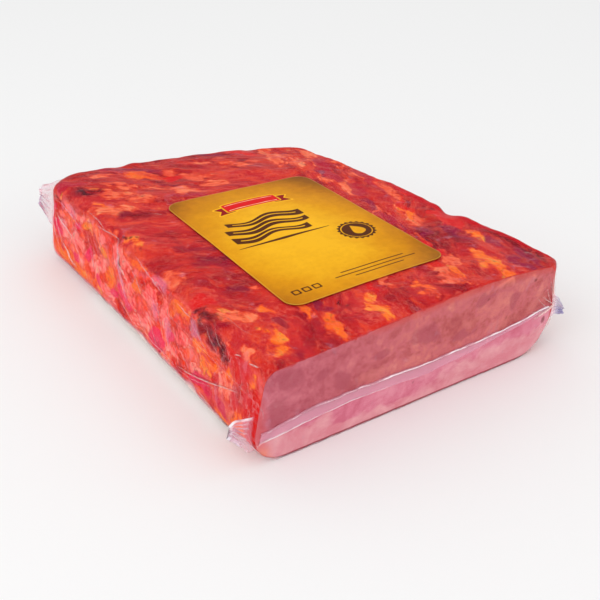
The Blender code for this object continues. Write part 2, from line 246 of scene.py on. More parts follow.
def slab_skin(cells_across):
    """The slab's outer surface as points and quads, with each quad's number in SIDES."""
    cells = np.array([round(cells_across * share) for share in (1.0, CELLS_DEEP, CELLS_HIGH)])
    steps = np.indices(cells + 1)
    on = ((steps == 0) | (steps == cells[:, None, None, None])).any(0)
    number = np.full(on.shape, -1)
    number[on] = np.arange(on.sum())
    quads, sides = [], []
    for axis in range(3):
        for far in (False, True):
            plane = np.take(number, -1 if far else 0, axis=axis)
            ring = [plane[:-1, :-1], plane[1:, :-1], plane[1:, 1:], plane[:-1, 1:]]
            if far == (axis == 1):
                ring.reverse()
            quads.append(np.stack(ring, -1).reshape(-1, 4))
            sides.append(np.full(len(quads[-1]), 2 * axis + far))
    quads = np.concatenate(quads)
    # Even shares of the way, then with the steps closer at both ends.
    share = steps[:, on] / cells[:, None]
    share = share - EDGE_CROWDING * np.sin(2.0 * math.pi * share) / (2.0 * math.pi)
    x, y = round_plan((share[0] - 0.5) * WIDTH, share[1] * DEPTH)
    smooth = slab_form(*round_edges(x, y, share[2] * THICKNESS))
    ways = corner_ways(smooth, quads)
    return SimpleNamespace(
        smooth=smooth, ways=ways, outside=smooth + ways * lump_at(smooth, ways)[:, None],
        quads=quads, sides=np.concatenate(sides))


def mesh_piece(name, points, quads):
    """Makes a smooth mesh object from arrays of points and faces, and links it."""
    mesh = bpy.data.meshes.new(name)
    mesh.from_pydata((points * MM).tolist(), [], quads.tolist())
    mesh.shade_smooth()
    mesh.update()
    piece = bpy.data.objects.new(name, mesh)
    bpy.context.scene.collection.objects.link(piece)
    return piece


def paint(piece, **values):
    """Stores numbers for each point, by name, for the material to read."""
    for name, numbers in values.items():
        layer = piece.data.attributes.new(name, "FLOAT", "POINT")
        layer.data.foreach_set("value", np.asarray(numbers, np.float32))


def tube_quads(rows, columns):
    """Quads of a tube of rows, each a closed ring of columns."""
    grid = np.arange(rows * columns).reshape(rows, columns)
    after = np.roll(grid, -1, axis=1)
    return np.stack([grid[:-1], after[:-1], after[1:], grid[1:]], -1).reshape(-1, 4)


# ---------------------------------------------------------------- material nodes
def srgb(red, green, blue):
    """A colour given as screen values from 0 to 255, as Blender's linear ones."""
    def linear(value):
        value /= 255.0
        return value / 12.92 if value <= 0.04045 else ((value + 0.055) / 1.055) ** 2.4
    return linear(red), linear(green), linear(blue)


class Value:
    """A number, place or colour in a material, with sums on numbers as usual."""

    def __init__(self, finish, socket):
        self.finish, self.socket = finish, socket

    def __add__(self, other):
        return self.finish.maths("ADD", self, other)

    def __sub__(self, other):
        return self.finish.maths("SUBTRACT", self, other)

    def __mul__(self, other):
        return self.finish.maths("MULTIPLY", self, other)

    def rise(self, low, high, new_low=0.0, new_high=1.0):
        """Goes softly from one number to another as this one goes from low to high."""
        return self.finish.add("ShaderNodeMapRange", 0, {
            "Value": self, "From Min": low, "From Max": high,
            "To Min": new_low, "To Max": new_high}, interpolation_type="SMOOTHSTEP")

    def ridge(self, half_width):
        """Thin lines, where this number passes 0."""
        return self.finish.maths("ABSOLUTE", self, 0.0).rise(half_width, 0.0)


def node_colour(colour):
    """A colour as a node takes it; a tuple holds screen values from 0 to 255."""
    if isinstance(colour, Value):
        return colour
    return (*(srgb(*colour) if isinstance(colour, tuple) else colour), 1.0)


class Finish:
    """One material, its colour so far, and short ways to add nodes to it."""

    def __init__(self, name):
        self.material = bpy.data.materials.new(name)
        self.material.use_nodes = True
        self.tree = self.material.node_tree
        self.tree.nodes.clear()
        self.colour = None

    def add(self, kind, output, inputs, **settings):
        """Adds a node and gives one output; an input is a number, a colour or a Value."""
        made = self.tree.nodes.new(kind)
        for setting, value in settings.items():
            setattr(made, setting, value)
        for key, value in inputs.items():
            if isinstance(value, Value):
                self.tree.links.new(value.socket, made.inputs[key])
            else:
                made.inputs[key].default_value = value
        return Value(self, made.outputs[output])

    def painted(self, name):
        """A number stored on the mesh's points."""
        return self.add("ShaderNodeAttribute", "Fac", {}, attribute_name=name)

    def maths(self, operation, first, second, clamp=False):
        """One sum on two numbers."""
        return self.add("ShaderNodeMath", 0, {0: first, 1: second},
                        operation=operation, use_clamp=clamp)

    def blend(self, share, first, second, mode="MIX"):
        """Goes from the first colour to the second by share."""
        return self.add("ShaderNodeMix", 2, {
            0: share, 6: node_colour(first), 7: node_colour(second)},
            data_type="RGBA", blend_type=mode)

    def coat(self, cover, colour, most=1.0):
        """Lays a colour over the colour so far, by a cover from 0 to 1."""
        self.colour = self.blend(cover if most == 1.0 else cover * most, self.colour, colour)

    def mixed(self, share, first, second):
        """Goes from the first number to the second by share."""
        return self.add("ShaderNodeMix", 0, {0: share, 2: first, 3: second}, data_type="FLOAT")

    def ramp(self, value, stops):
        """A colour read from stops of place: colour."""
        read = self.add("ShaderNodeValToRGB", 0, {0: value})
        band = read.socket.node.color_ramp
        while len(band.elements) < len(stops):
            band.elements.new(1.0)
        for element, (place, colour) in zip(band.elements, stops.items()):
            element.position = place
            element.color = node_colour(colour)
        return read

    def place(self):
        """The place on the piece, in metres."""
        return self.add("ShaderNodeTexCoord", "Object", {})

    def swirled(self, place, size, reach):
        """The place pushed about by broad noise, so that patterns bend."""
        push = self.add("ShaderNodeTexNoise", "Color", {
            "Vector": place, "Scale": 1.0 / (size * MM), "Detail": 1.0})
        centred = self.add("ShaderNodeVectorMath", 0, {0: push, 1: (0.5, 0.5, 0.5)},
                           operation="SUBTRACT")
        scaled = self.add("ShaderNodeVectorMath", 0, {0: centred, "Scale": reach * MM},
                          operation="SCALE")
        return self.add("ShaderNodeVectorMath", 0, {0: place, 1: scaled}, operation="ADD")

    def stretched(self, place, way, times):
        """The place squeezed along one way, so that patterns lengthen along it."""
        turn = Vector((1.0, 0.0, 0.0)).rotation_difference(way).to_euler()
        return self.add("ShaderNodeMapping", 0, {
            "Vector": place, "Rotation": turn, "Scale": (times, 1.0, 1.0)},
            vector_type="TEXTURE")

    def grain(self, place, size, detail=2.0, rough=0.5, distort=0.0):
        """Noise from 0 to 1 with features of one size."""
        return self.add("ShaderNodeTexNoise", "Fac", {
            "Vector": place, "Scale": 1.0 / (size * MM), "Detail": detail,
            "Roughness": rough, "Distortion": distort})

    def cell_middles(self, place, size):
        """The middle of the cell that a place is in, so that each cell is one dab."""
        return self.add("ShaderNodeTexVoronoi", "Position", {
            "Vector": place, "Scale": 1.0 / (size * MM)})

    def streaks(self, place, way, times):
        """Large dabs, small dabs, soft and fine grain, lengthened along one way.

        They go from -0.5 to 0.5.
        """
        long_way = self.stretched(place, way, times)
        curled = self.swirled(long_way, 9, 6)
        large = self.grain(self.cell_middles(curled, 7), 22, 2.0, 0.55)
        broad = self.mixed(0.45, large, self.grain(long_way, 22, 3.0, 0.6, 0.5))
        stroke = self.grain(self.cell_middles(curled, 2.2), 7, 3.0, 0.6)
        soft = self.grain(curled, 13, 6.0, 0.66, 0.7)
        fine = self.grain(self.stretched(curled, way, times), 2.0, 4.0, 0.68)
        return [pattern - 0.5 for pattern in (broad, stroke, soft, fine)]

    def bump(self, height, strength, reach):
        """A normal that follows a height pattern."""
        return self.add("ShaderNodeBump", 0, {
            "Height": height, "Strength": strength, "Distance": reach * MM})

    def surface(self, **inputs):
        """Ends the material in one Principled shader, and gives the material."""
        shader = self.add("ShaderNodeBsdfPrincipled", 0, {
            key.replace("_", " ").title().replace("Ior", "IOR"): value
            for key, value in inputs.items()})
        end = self.tree.nodes.new("ShaderNodeOutputMaterial")
        self.tree.links.new(shader.socket, end.inputs["Surface"])
        return self.material


# ---------------------------------------------------------------- what a user can change
def shade(name, description, *screen):
    """A colour setting, with its default as screen values from 0 to 255."""
    return FloatVectorProperty(name=name, description=description, subtype="COLOR", size=3,
                               default=srgb(*screen))


class MeatLook(bpy.types.PropertyGroup):
    """Colours and relief of the smoked outside and the cut face."""

    dark_red: shade("Dark red", "Deepest red of the smoked outside", 138, 20, 32)
    red: shade("Red", "Commonest red of the smoked outside", 196, 36, 34)
    orange: shade("Orange", "Smoked fat", 240, 84, 44)
    salmon: shade("Salmon", "Palest smoked fat", 250, 122, 84)
    bruise: shade("Bruise", "Purple lean patches", 112, 24, 52)
    char: shade("Char", "Scorched spots", 44, 12, 22)
    cut_pink: shade("Cut pink", "Commonest pink of the cut face", 204, 106, 112)
    cut_mauve: shade("Cut mauve", "Greyer muscle in the cut face", 172, 80, 92)
    cut_rose: shade("Cut rose", "Pinker layer under the weld", 221, 128, 148)
    cut_cream: shade("Cut cream", "Fat layer along the foot of the cut face", 229, 158, 164)
    relief: FloatProperty(
        name="Relief", description="Height of the fibres on the smoked outside",
        subtype="DISTANCE", unit="LENGTH", default=0.35 * MM)
    cells_across: IntProperty(
        name="Cells across", description="Mesh cells across the slab", default=144)


class FilmLook(bpy.types.PropertyGroup):
    """How clear the film is, and its folds."""

    tint: shade("Tint", "Colour of the film where it gathers", 246, 190, 222)
    haze: FloatProperty(
        name="Haze", description="Least cover of the film", subtype="FACTOR",
        min=0.0, max=1.0, default=0.01)
    fold_height: FloatProperty(
        name="Fold height", description="Height of the folds in the film",
        subtype="DISTANCE", unit="LENGTH", default=0.5 * MM)
    seed: IntProperty(name="Seed", description="Changes where the folds run", default=7)


class LabelLook(bpy.types.PropertyGroup):
    """Colours of the card and of the print on it."""

    # The card's gold runs from the painted highlight in its middle to painted shade at its edges.
    gold: shade("Gold", "Middle of the card", 250, 186, 30)
    shaded_gold: shade("Dark gold", "Edges of the card", 152, 92, 14)
    brown: shade("Brown", "Brown print", 88, 44, 16)
    red: shade("Red", "Red print", 226, 20, 26)


class StageLook(bpy.types.PropertyGroup):
    """Floor, light and camera."""

    floor: FloatVectorProperty(
        name="Floor", description="Colour of the floor", subtype="COLOR", size=3,
        default=(0.92, 0.92, 0.92))
    sky: FloatProperty(
        name="Sky", description="Strength of the soft light from all round", default=0.90)
    key: FloatProperty(
        name="Key", description="Power of the large soft lamp, in watts", default=5.0)
    lens: FloatProperty(
        name="Lens", description="Focal length in millimetres on a 36 mm sensor",
        subtype="DISTANCE_CAMERA", default=53.34)


# ---------------------------------------------------------------- patches on the meat
# Places of what stands out on the smoked outside. On the top:
# x, y, half length along the streaks, half width.
TOP_FAT = (
    (-67, 121, 5, 3), (10, 113, 6, 5), (61, 106, 15, 6), (66, 86, 12, 6), (84, 92, 9, 5),
    (-10, 92, 8, 6), (-70, 86, 8, 5), (-81, 67, 9, 8), (-60, 74, 9, 7), (-30, 76, 12, 6),
    (-4, 75, 7, 5), (-92, 40, 4, 6), (-88, -28, 6, 8), (-61, 98, 7, 4), (90, 64, 9, 4),
    (-79, -82, 9, 5), (-91, -110, 5, 4), (38, -111, 11, 6), (53, -97, 6, 4), (88, 8, 14, 5),
    (62, -20, 6, 4), (69, 26, 9, 6), (62, 42, 7, 4), (76, -31, 8, 6), (6, -97, 6, 4),
    (28, 99, 8, 5), (39, 99, 6, 4), (-56, -64, 4, 3), (90, 38, 7, 4), (78, 79, 7, 4),
    (-22, 109, 5, 3),
)
TOP_AMBER = (
    (-40, 110, 11, 6), (-73, -112, 8, 6), (-47, -96, 6, 5), (-43, -118, 9, 5), (-15, -117, 10, 6),
    (15, -118, 7, 4), (66, -117, 15, 8), (88, -80, 7, 3), (-84, 78, 5, 4), (76, -30, 5, 4),
    (-62, -82, 5, 3), (-87, 20, 4, 6), (44, -112, 8, 4),
)
TOP_BRUISES = (
    (-77, 57, 5, 6), (-88, 98, 9, 4), (-60, -27, 11, 6), (-67, -62, 7, 5), (-61, -5, 8, 5),
    (80, -72, 9, 7), (68, -58, 5, 4), (82, -122, 8, 5), (93, -116, 12, 5), (62, -7, 8, 4),
    (60, -46, 6, 3), (-44, 125, 14, 3), (-31, 88, 6, 2), (-36, -98, 5, 3), (68, 56, 5, 3),
    (-72, -128, 5, 4), (-62, -100, 5, 3), (20, 126, 12, 3), (90, -92, 8, 5), (-91, -82, 6, 4),
)
TOP_DEEP = (
    (-68, 127, 28, 8), (-40, 99, 8, 4), (-8, 114, 9, 6), (30, 119, 13, 6), (36, 86, 12, 8),
    (-88, 100, 10, 9), (-45, 87, 7, 6), (-66, 52, 14, 9), (-62, 0, 13, 11), (-60, -25, 15, 13),
    (-63, -50, 13, 11), (-84, -8, 9, 7), (-56, -112, 14, 6), (-30, -104, 10, 6), (0, -118, 14, 6),
    (29, -110, 18, 6), (54, -121, 10, 5), (96, -110, 26, 10), (65, -62, 13, 8), (80, -72, 14, 10),
    (77, 68, 8, 6), (57, 68, 10, 6), (-68, -74, 8, 7), (10, 130, 30, 5), (82, -122, 10, 7),
    (19, -101, 8, 4), (-91, -82, 8, 6), (-71, 19, 8, 6), (-80, 38, 7, 5),
    (-80, 0, 6, 6), (31, -122, 9, 4), (-74, 118, 9, 5),
)
TOP_RED = (
    (92, -48, 13, 6), (82, -20, 8, 4), (42, 122, 9, 4), (-24, 101, 8, 5), (45, -89, 8, 4),
    (-86, -60, 8, 4), (90, 22, 9, 4), (56, -76, 8, 4), (-4, -98, 6, 3), (96, 2, 12, 4),
)
TOP_MAGENTA = (
    (-48, 127, 20, 5), (75, 58, 16, 7), (-90, 118, 10, 5), (70, 20, 9, 5), (93, 40, 30, 5),
    (60, -30, 8, 4), (-30, 64, 9, 3), (80, 66, 6, 5),
)
TOP_CHARS = (
    (-88, 99, 7, 2.2), (-80, 100, 5, 1.2), (-30, 87, 3, 1.4), (-90, -74, 5, 4), (-27, -99, 4, 1),
    (-92, -64, 5, 3), (-58, -27, 6, 1.2), (-89, 26, 5, 1.4),
)
# On the left side: y, z, half length towards the cut face, half height.
SIDE_FAT = (
    (-14, 22, 8, 5), (-52, 31, 10, 6), (-30, 34, 7, 8), (60, 20, 10, 4), (14, 33, 9, 6),
    (-100, 30, 9, 6), (90, 28, 9, 5), (-68, 20, 7, 4), (40, 16, 14, 4), (-44, 17, 9, 4),
    (108, 30, 8, 5), (-4, 15, 14, 4), (32, 44, 5, 7), (84, 46, 9, 2.5), (-12, 38, 7, 6),
    (50, 45, 7, 3), (20, 43, 9, 7), (5, 27, 6, 5), (22, 18, 8, 3), (53, 27, 7, 5),
    (-98, 49, 7, 3),
)
SIDE_AMBER = (
    (-80, 31, 8, 7), (-49, 46, 10, 4), (2, 36, 7, 4), (6, 49, 8, 3), (38, 27, 8, 8),
    (50, 37, 6, 4), (72, 42, 8, 4), (-104, 37, 7, 4), (116, 16, 9, 6), (76, 12, 24, 4.5),
    (-121, 44, 6, 3), (100, 40, 6, 3), (98, 13, 11, 5), (-118, 18, 5, 7), (-38, 41, 5, 3),
    (-74, 36, 5, 4), (-106, 8, 12, 4),
)
SIDE_MAGENTA = (
    (19, 25, 9, 4), (-25, 16, 9, 5), (51, 17, 5, 3), (-74, 15, 16, 4), (118, 27, 8, 5),
    (-100, 15, 10, 4), (8, 21, 6, 3), (-20, 50, 7, 2), (128, 34, 6, 8), (32, 19, 8, 3),
    (86, 38, 6, 3), (-40, 24, 5, 4), (70, 26, 6, 3), (88, 19, 7, 3),
)
SIDE_RED = (
    (69, 34, 10, 6), (-128, 28, 9, 16), (-108, 46, 13, 8), (118, 42, 9, 4), (62, 42, 5, 3),
    (-60, 53, 10, 2), (25, 54, 9, 2), (-112, 26, 6, 6), (10, 39, 4, 3), (-90, 26, 6, 4),
    (118, 34, 7, 3),
)
# Deep red on the left side, under the top's edge.
SIDE_DEEP = (
    (104, 52, 26, 5.5), (122, 45, 9, 5), (-82, 50, 14, 7), (56, 54, 18, 3.5), (-26, 53, 12, 2.5),
    (-66, 42, 6, 3), (6, 54, 12, 2.5), (-120, 36, 8, 6),
)
SIDE_CHARS = (
    (-78, 51, 8, 5), (-85, 46, 6, 5), (-93, 43, 5, 4), (-71, 47, 4, 3), (-82, 55, 9, 4),
    (106, 53, 9, 1.4), (120, 47, 7, 1.2),
)
# Painted reflection, in lilac, on the film of the left side.
SIDE_LILAC = (
    (-66, 44, 8, 3), (-18, 47, 9, 3), (27, 43, 3, 9), (98, 45, 12, 3), (-36, 30, 4, 7),
    (110, 32, 6, 4), (-20, 32, 4, 7),
)
# On the cut face: x, z, half width, half height.
CUT_CREAM = ((72, 7, 60, 8), (-84, 9, 30, 7), (-10, 1, 70, 5), (-50, 5, 20, 3))
CUT_MAUVE = (
    (-78, 45, 7, 5), (-47, 33, 7, 5), (-58, 42, 6, 3), (5, 44, 8, 5), (12, 39, 6, 4),
    (47, 49, 6, 3), (-86, 30, 6, 8), (30, 32, 9, 3), (68, 42, 6, 5), (-22, 40, 7, 3),
)
CUT_SALMON = (
    (-28, 29, 7, 4), (62, 55, 9, 3), (60, 42, 10, 6), (40, 38, 9, 3), (78, 51, 9, 3),
    (-4, 30, 8, 3), (60, 30, 14, 3), (88, 38, 5, 6),
)
CUT_SPECKS = (
    (-37, 48, 0.8, 0.8), (49, 49, 1.0, 0.8), (84, 51, 1.6, 1.2), (-1, 13.5, 1.2, 1.0),
    (96, 21, 1.6, 2.6), (12, 35, 0.6, 0.5), (64, 33, 0.6, 0.6),
)


def patch_cover(places, patches, streaked=False):
    """How much the patches cover each place, from 0 to 1; streaked ones lie along the streaks."""
    cover = np.zeros(len(places))
    for one, other, half_one, half_other in patches:
        along, longer = Vector((1.0, 0.0)), 1.0
        # At the right and by the cut face the streaks run the other way.
        if streaked and (one > 45 or other < -88):
            along, longer = FRONT_STREAK_WAY.xy.normalized(), 1.5
        elif streaked:
            along, longer = STREAK_WAY.xy.normalized(), 1.25
        off = places - (one, other)
        far = ((off @ along) / (half_one * longer)) ** 2
        far += ((off @ along.orthogonal()) / (half_other / longer ** 0.7)) ** 2
        cover = np.maximum(cover, 1.0 - 0.5 * far)
    return np.clip(cover, 0.0, 1.0)


def far_edge_shade(points, ways):
    """The share of painted shade, a dark outline where the top rounds away along the back and the
    right.
    """
    x, y, z = points.T
    near = np.maximum(ease((x + 0.09 * y - 82) / 8), ease((y + 0.07 * x - 116) / 8))
    turned = ease((ways[:, 0] + 1.25 * ways[:, 1]) / 0.2)
    return near * turned * np.exp(-((ways[:, 2] - 0.74) / 0.2) ** 2) * ease((z - 36) / 9)


def on_cut_face(ways):
    """Goes to 1 where a way points out of the cut face."""
    return ease((-ways[:, 1] - 0.6) / 0.3)


def paint_meat(piece, points, ways):
    """Stores where the fat, bruises, scorched spots and cut layers lie."""
    x, y, z = points.T
    top = ease((ways[:, 2] - 0.35) / 0.35)
    left = ease((-ways[:, 0] - 0.2) / 0.5) * (1.0 - top)
    unseen = np.clip(1.0 - top - left - on_cut_face(ways), 0.0, 1.0)
    wobble = np.stack([noise_at(points, 14, shift) * 6 + noise_at(points, 6, shift + 5.0) * 4
                       for shift in (3.1, 8.4)], -1)
    plan = points[:, :2] + wobble
    side, face = (points[:, axes] + wobble * (1.0, 0.7) for axes in ([1, 2], [0, 2]))
    # Patches from the lists, joined with ones that noise spreads on unseen sides.
    for name, top_patches, side_patches, size, threshold in (
            ("fat", TOP_FAT, SIDE_FAT, 21, 0.15), ("amber", TOP_AMBER, SIDE_AMBER, 27, 0.2),
            ("bruise", TOP_BRUISES, (), 17, 0.3), ("deep", TOP_DEEP, SIDE_DEEP, 29, 0.1),
            ("char", TOP_CHARS, SIDE_CHARS, 25, 0.55), ("bright_red", TOP_RED, SIDE_RED, 13, 0.3),
            ("magenta", TOP_MAGENTA, SIDE_MAGENTA, 19, 0.25)):
        spread = ease((noise_at(points, size, size) - threshold) / 0.25)
        paint(piece, **{name: top * patch_cover(plan, top_patches, streaked=True)
                        + left * patch_cover(side, side_patches) + unseen * spread})
    thickness = thickness_at(x, y + DEPTH / 2.0)
    lower, upper = band_edges(np.clip(x / (WIDTH - 2.0 * BAND_END_GAP) + 0.5, 0.0, 1.0))
    paint(
        # wall: the lighter left side, partly its own colour and partly painted light on the lit
        # side
        piece, wall=left * (1.0 - 0.6 * ease((-55 - y) / 45)),
        front=np.maximum(ease((-74 - y) / 26), ease((x - 34) / 24)) * top,
        # painted shade: a dark outline where the far edges round away
        smoked_edge=far_edge_shade(points, ways),
        red_rim=ease((x + 0.09 * y - 88) / 9) * top * (1.0 - 0.6 * ease(y / 30)),
        mauve=patch_cover(face, CUT_MAUVE), salmon=patch_cover(face, CUT_SALMON),
        cream=patch_cover(face, CUT_CREAM), speck=patch_cover(points[:, [0, 2]], CUT_SPECKS),
        under_weld=ease(((lower + upper) / 2.0 - z / thickness * THICKNESS) / 3 + 0.5),
        height=z / THICKNESS, brim=(thickness - z) / 10 - ease(ways[:, 2] / 0.5),
        glow=ease((z - thickness + 9) / 9) * ease((x + 60) / 50),
        # border: a painted highlight of the film's edge along the cut face's left border
        leftness=ease((-x / WIDTH + 0.1) / 0.6), border=ease((-x - 86 - 0.1 * z) / 8))


def smoked_skin(look):
    """The smoked outside: streaky reds, orange fat, purple bruises and char, with painted light
    on the left side and painted shade along the far edges.
    """
    finish = Finish("smoked_skin")
    blend, coat, grain = finish.blend, finish.coat, finish.grain
    painted, ramp = finish.painted, finish.ramp
    place = finish.swirled(finish.place(), 45, 24)
    front, wall = painted("front"), painted("wall")
    broad, stroke, soft, fine = (
        finish.mixed(front, one, other)
        for one, other in zip(finish.streaks(place, STREAK_WAY, 2.2),
                              finish.streaks(place, FRONT_STREAK_WAY, 2.6)))
    tone = broad * 1.1 + stroke * 0.40 + soft * 1.1 + fine * 0.45 + 0.5
    finish.colour = ramp(tone, {
        0.18: look.dark_red, 0.32: (166, 18, 32), 0.42: look.red, 0.50: (206, 36, 32),
        0.58: (215, 52, 40), 0.68: (230, 74, 50), 0.82: (242, 104, 74)})
    coat((broad - soft * 0.9).rise(-0.02, 0.12), (200, 42, 54), 0.5)
    # The left side is lighter: salmon and coral pink between the orange, partly its own colour
    # and partly painted light on the lit side.
    wall_tone = broad * 1.5 + soft * 1.2 + stroke * 0.3 + fine * 0.45 + 0.52
    coral = ramp(wall_tone, {
        0.14: (190, 26, 32), 0.28: (232, 44, 30), 0.42: (248, 74, 44), 0.55: (252, 98, 66),
        0.70: (255, 126, 94), 0.86: (255, 170, 136)})
    rose = ramp(wall_tone, {
        0.20: (212, 30, 60), 0.40: (240, 70, 82), 0.56: (250, 98, 106), 0.74: (255, 138, 140),
        0.90: (255, 180, 176)})
    coat(wall, blend((soft + stroke * 1.2 + fine * 0.6).rise(-0.06, 0.06), coral, rose))
    deep = (painted("deep") + soft * 1.2 + stroke * 0.6).rise(0.0, 0.8)
    coat(deep, ramp(tone, {0.28: (112, 6, 28), 0.48: (164, 14, 32), 0.70: (204, 30, 38)}), 0.72)
    # Fat: a dark outline, a wide orange-red ground, then salmon or amber on it.
    ragged = soft * 1.4 + stroke * 2.0 + fine * 1.2
    fat, amber = painted("fat") + ragged, painted("amber") + ragged
    either = finish.maths("MAXIMUM", fat, amber)
    coat(either.rise(0.02, 0.26) * broad.rise(0.06, -0.10), (164, 22, 30), 0.6)
    coat(either.rise(0.10, 0.50), (230, 66, 42), 0.85)
    fat_tone = fine * 0.6 + broad * 0.7 + stroke * 0.6 + soft * 0.3 + 0.5
    salmon = blend(wall, ramp(fat_tone, {
        0.28: (216, 50, 42), 0.42: (236, 86, 60), 0.56: look.salmon, 0.74: (255, 160, 122)}),
        ramp(fat_tone + fine * 0.5 + soft * 0.4, {
            0.26: (236, 58, 66), 0.40: (252, 92, 92), 0.55: (255, 124, 120),
            0.74: (255, 172, 162)}))
    coat(fat.rise(0.42, 0.74), salmon)
    coat(amber.rise(0.43, 0.74), ramp(fat_tone, {
        0.28: (218, 46, 20), 0.42: look.orange, 0.56: (252, 112, 32), 0.74: (255, 166, 70)}))
    coat(grain(finish.place(), 1.6, 2.0, 0.6).rise(0.55, 0.75), (255, 170, 140), 0.16)
    # Red and magenta patches.
    coat((painted("bright_red") + soft * 1.2 + stroke * 0.8).rise(0.34, 0.66),
         blend(wall, (222, 26, 28), (210, 36, 24)), 0.9)
    coat((painted("magenta") + soft * 1.2 + stroke * 0.9).rise(0.34, 0.68),
         blend(wall, (186, 26, 58), (238, 32, 92)), 0.85)
    # Bruises, dark flecks, thin dark creases and pale threads.
    maroon = blend(broad.rise(-0.08, 0.08), look.bruise, (150, 14, 40))
    coat((painted("bruise") + soft * 1.6 + stroke * 0.9 + fine * 1.2).rise(0.20, 0.95),
         blend(painted("leftness"), (140, 3, 68), maroon), 0.78)
    flecks = grain(place, 2.6, 4.0, 0.72, 1.0).rise(0.62, 0.72)
    coat(flecks * (wall * -0.18 + 0.48), (126, 12, 26))
    coat((grain(place, 15, 4.0, 0.6, 1.0) - 0.5).ridge(0.012), (136, 10, 34), 0.40)
    coat((soft + fine * 0.3).ridge(0.016), (252, 134, 118), 0.34)
    # The far edges: a bright red rim, and painted shade as a dark outline where they round away.
    coat((painted("red_rim") + soft * 1.3).rise(0.40, 0.85), (200, 12, 30), 0.8)
    coat((painted("smoked_edge") + broad * 1.6 + soft * 1.8 + fine).rise(0.34, 0.95),
         (96, 6, 24), 0.9)
    coat((painted("char") + fine * 2.4 + soft + stroke * 0.6).rise(0.15, 0.95),
         ramp(soft + fine * 1.2 + 0.5, {
             0.35: look.char, 0.50: (84, 10, 26), 0.64: (150, 34, 44)}), 0.96)
    # The film and the white room add a little blue, so the meat goes without it.
    base = blend(1.0, finish.colour, Vector((1.0, 0.93, 0.84)), "MULTIPLY")
    return finish.surface(
        base_color=base, roughness=soft.rise(-0.2, 0.2, 0.42, 0.3), specular_ior_level=0.02,
        normal=finish.bump(soft + fine * 0.6, 0.45, 0.6))


def cut_meat(look):
    """The cut face: pink meat with greyer muscles, a rose layer and a fat layer."""
    finish = Finish("cut_meat")
    coat, grain, painted, ramp = finish.coat, finish.grain, finish.painted, finish.ramp
    place = finish.swirled(finish.place(), 26, 14)
    lying = finish.stretched(place, Vector((1.0, 0.0, 0.35)).normalized(), 1.6)
    broad = grain(lying, 14, 3.0, 0.55, 0.4) - 0.5
    cloud = grain(place, 6, 4.0, 0.62) - 0.5
    fine = grain(place, 2.2, 4.0, 0.65) - 0.5
    tone = broad * 0.65 + cloud * 0.6 + fine * 0.5 + 0.5
    finish.colour = ramp(tone, {
        0.32: (180, 84, 86), 0.44: (194, 97, 96), 0.54: look.cut_pink, 0.64: (211, 115, 110),
        0.74: (220, 130, 122)})
    coat(painted("leftness"), ramp(tone, {
        0.34: (180, 86, 100), 0.52: (195, 102, 115), 0.70: (208, 118, 130)}))
    salmon = (painted("salmon") + cloud * 1.5).rise(0.2, 0.9)
    coat(salmon, (224, 132, 122), 0.30)
    coat((painted("mauve") + cloud).rise(0.3, 0.75), look.cut_mauve, 0.6)
    coat((grain(place, 11, 3.0, 0.55, 0.6) - 0.5).ridge(0.010), (168, 72, 84), 0.28)
    coat((painted("glow") + cloud * 0.6).rise(0.2, 1.0),
         finish.blend(salmon, (208, 80, 72), (248, 132, 102)), 0.65)
    # The rose layer under the weld, and the cream one on the foot.
    layers = broad * 0.9 + cloud * 0.25 + fine * 0.3 + 0.5
    coat(painted("under_weld"), ramp(layers, {
        0.36: (211, 110, 132), 0.50: look.cut_rose, 0.64: (230, 148, 164)}))
    coat((painted("cream") + broad * 0.8 + cloud * 0.4).rise(0.15, 0.65), ramp(layers, {
        0.36: (224, 140, 150), 0.50: look.cut_cream, 0.64: (236, 172, 176)}), 0.85)
    # Its borders: a painted highlight of the film's edge at the left, paler towards the foot,
    # smoked red at the brim, and darker along the very foot.
    border, height = painted("border"), painted("height")
    coat(border, (222, 92, 92), 0.6)
    coat(border * height.rise(0.26, 0.10), (242, 150, 124), 0.9)
    coat((painted("brim") + cloud * 0.5).rise(0.16, 0.04), (206, 48, 42), 0.85)
    coat(height.rise(0.030, 0.010), (150, 44, 50), 0.85)
    coat(fine.rise(0.10, 0.26), (170, 72, 84), 0.22)
    coat((painted("speck") + fine * 0.8).rise(0.3, 0.9), (120, 38, 36), 0.7)
    return finish.surface(
        base_color=finish.colour, roughness=0.42, specular_ior_level=0.03,
        normal=finish.bump(fine + cloud, 0.25, 0.4))


def clear_film(look):
    """Tight clear film: a faint haze, whiter where it is gathered, with painted highlights along
    its foot and its wrinkle lines and a painted reflection in lilac on the left side.
    """
    finish = Finish("clear_film")
    place = finish.swirled(finish.place(), 40, 14)
    wrinkle = finish.grain(finish.stretched(place, WRINKLE_WAY, 7.0), 8, 2.0, 0.5, 0.3) - 0.5
    lines = wrinkle.ridge(0.022)
    cloud = finish.grain(finish.stretched(place, WRINKLE_WAY, 3.0), 8, 3.0, 0.6).rise(0.44, 0.66)
    slack, hem = finish.painted("slack"), finish.painted("hem")
    # lilac: a painted reflection on the left side
    lilac = (finish.painted("lilac") + wrinkle * 3.0).rise(0.35, 1.15)
    cover = lines * (slack * 0.13) + cloud * (slack * 0.06) + lilac * 0.34 + hem * 0.8
    finish.colour = finish.blend(lilac, look.tint, (255, 146, 178))
    # painted highlight along the foot
    finish.coat(hem, (255, 238, 228))
    # painted highlights along the wrinkle lines
    finish.coat(lines, (255, 214, 218))
    return finish.surface(
        base_color=finish.colour, roughness=0.16, specular_ior_level=0.16,
        alpha=finish.maths("ADD", cover, look.haze, clamp=True),
        normal=finish.bump(lines + cloud, 0.4, 0.5))


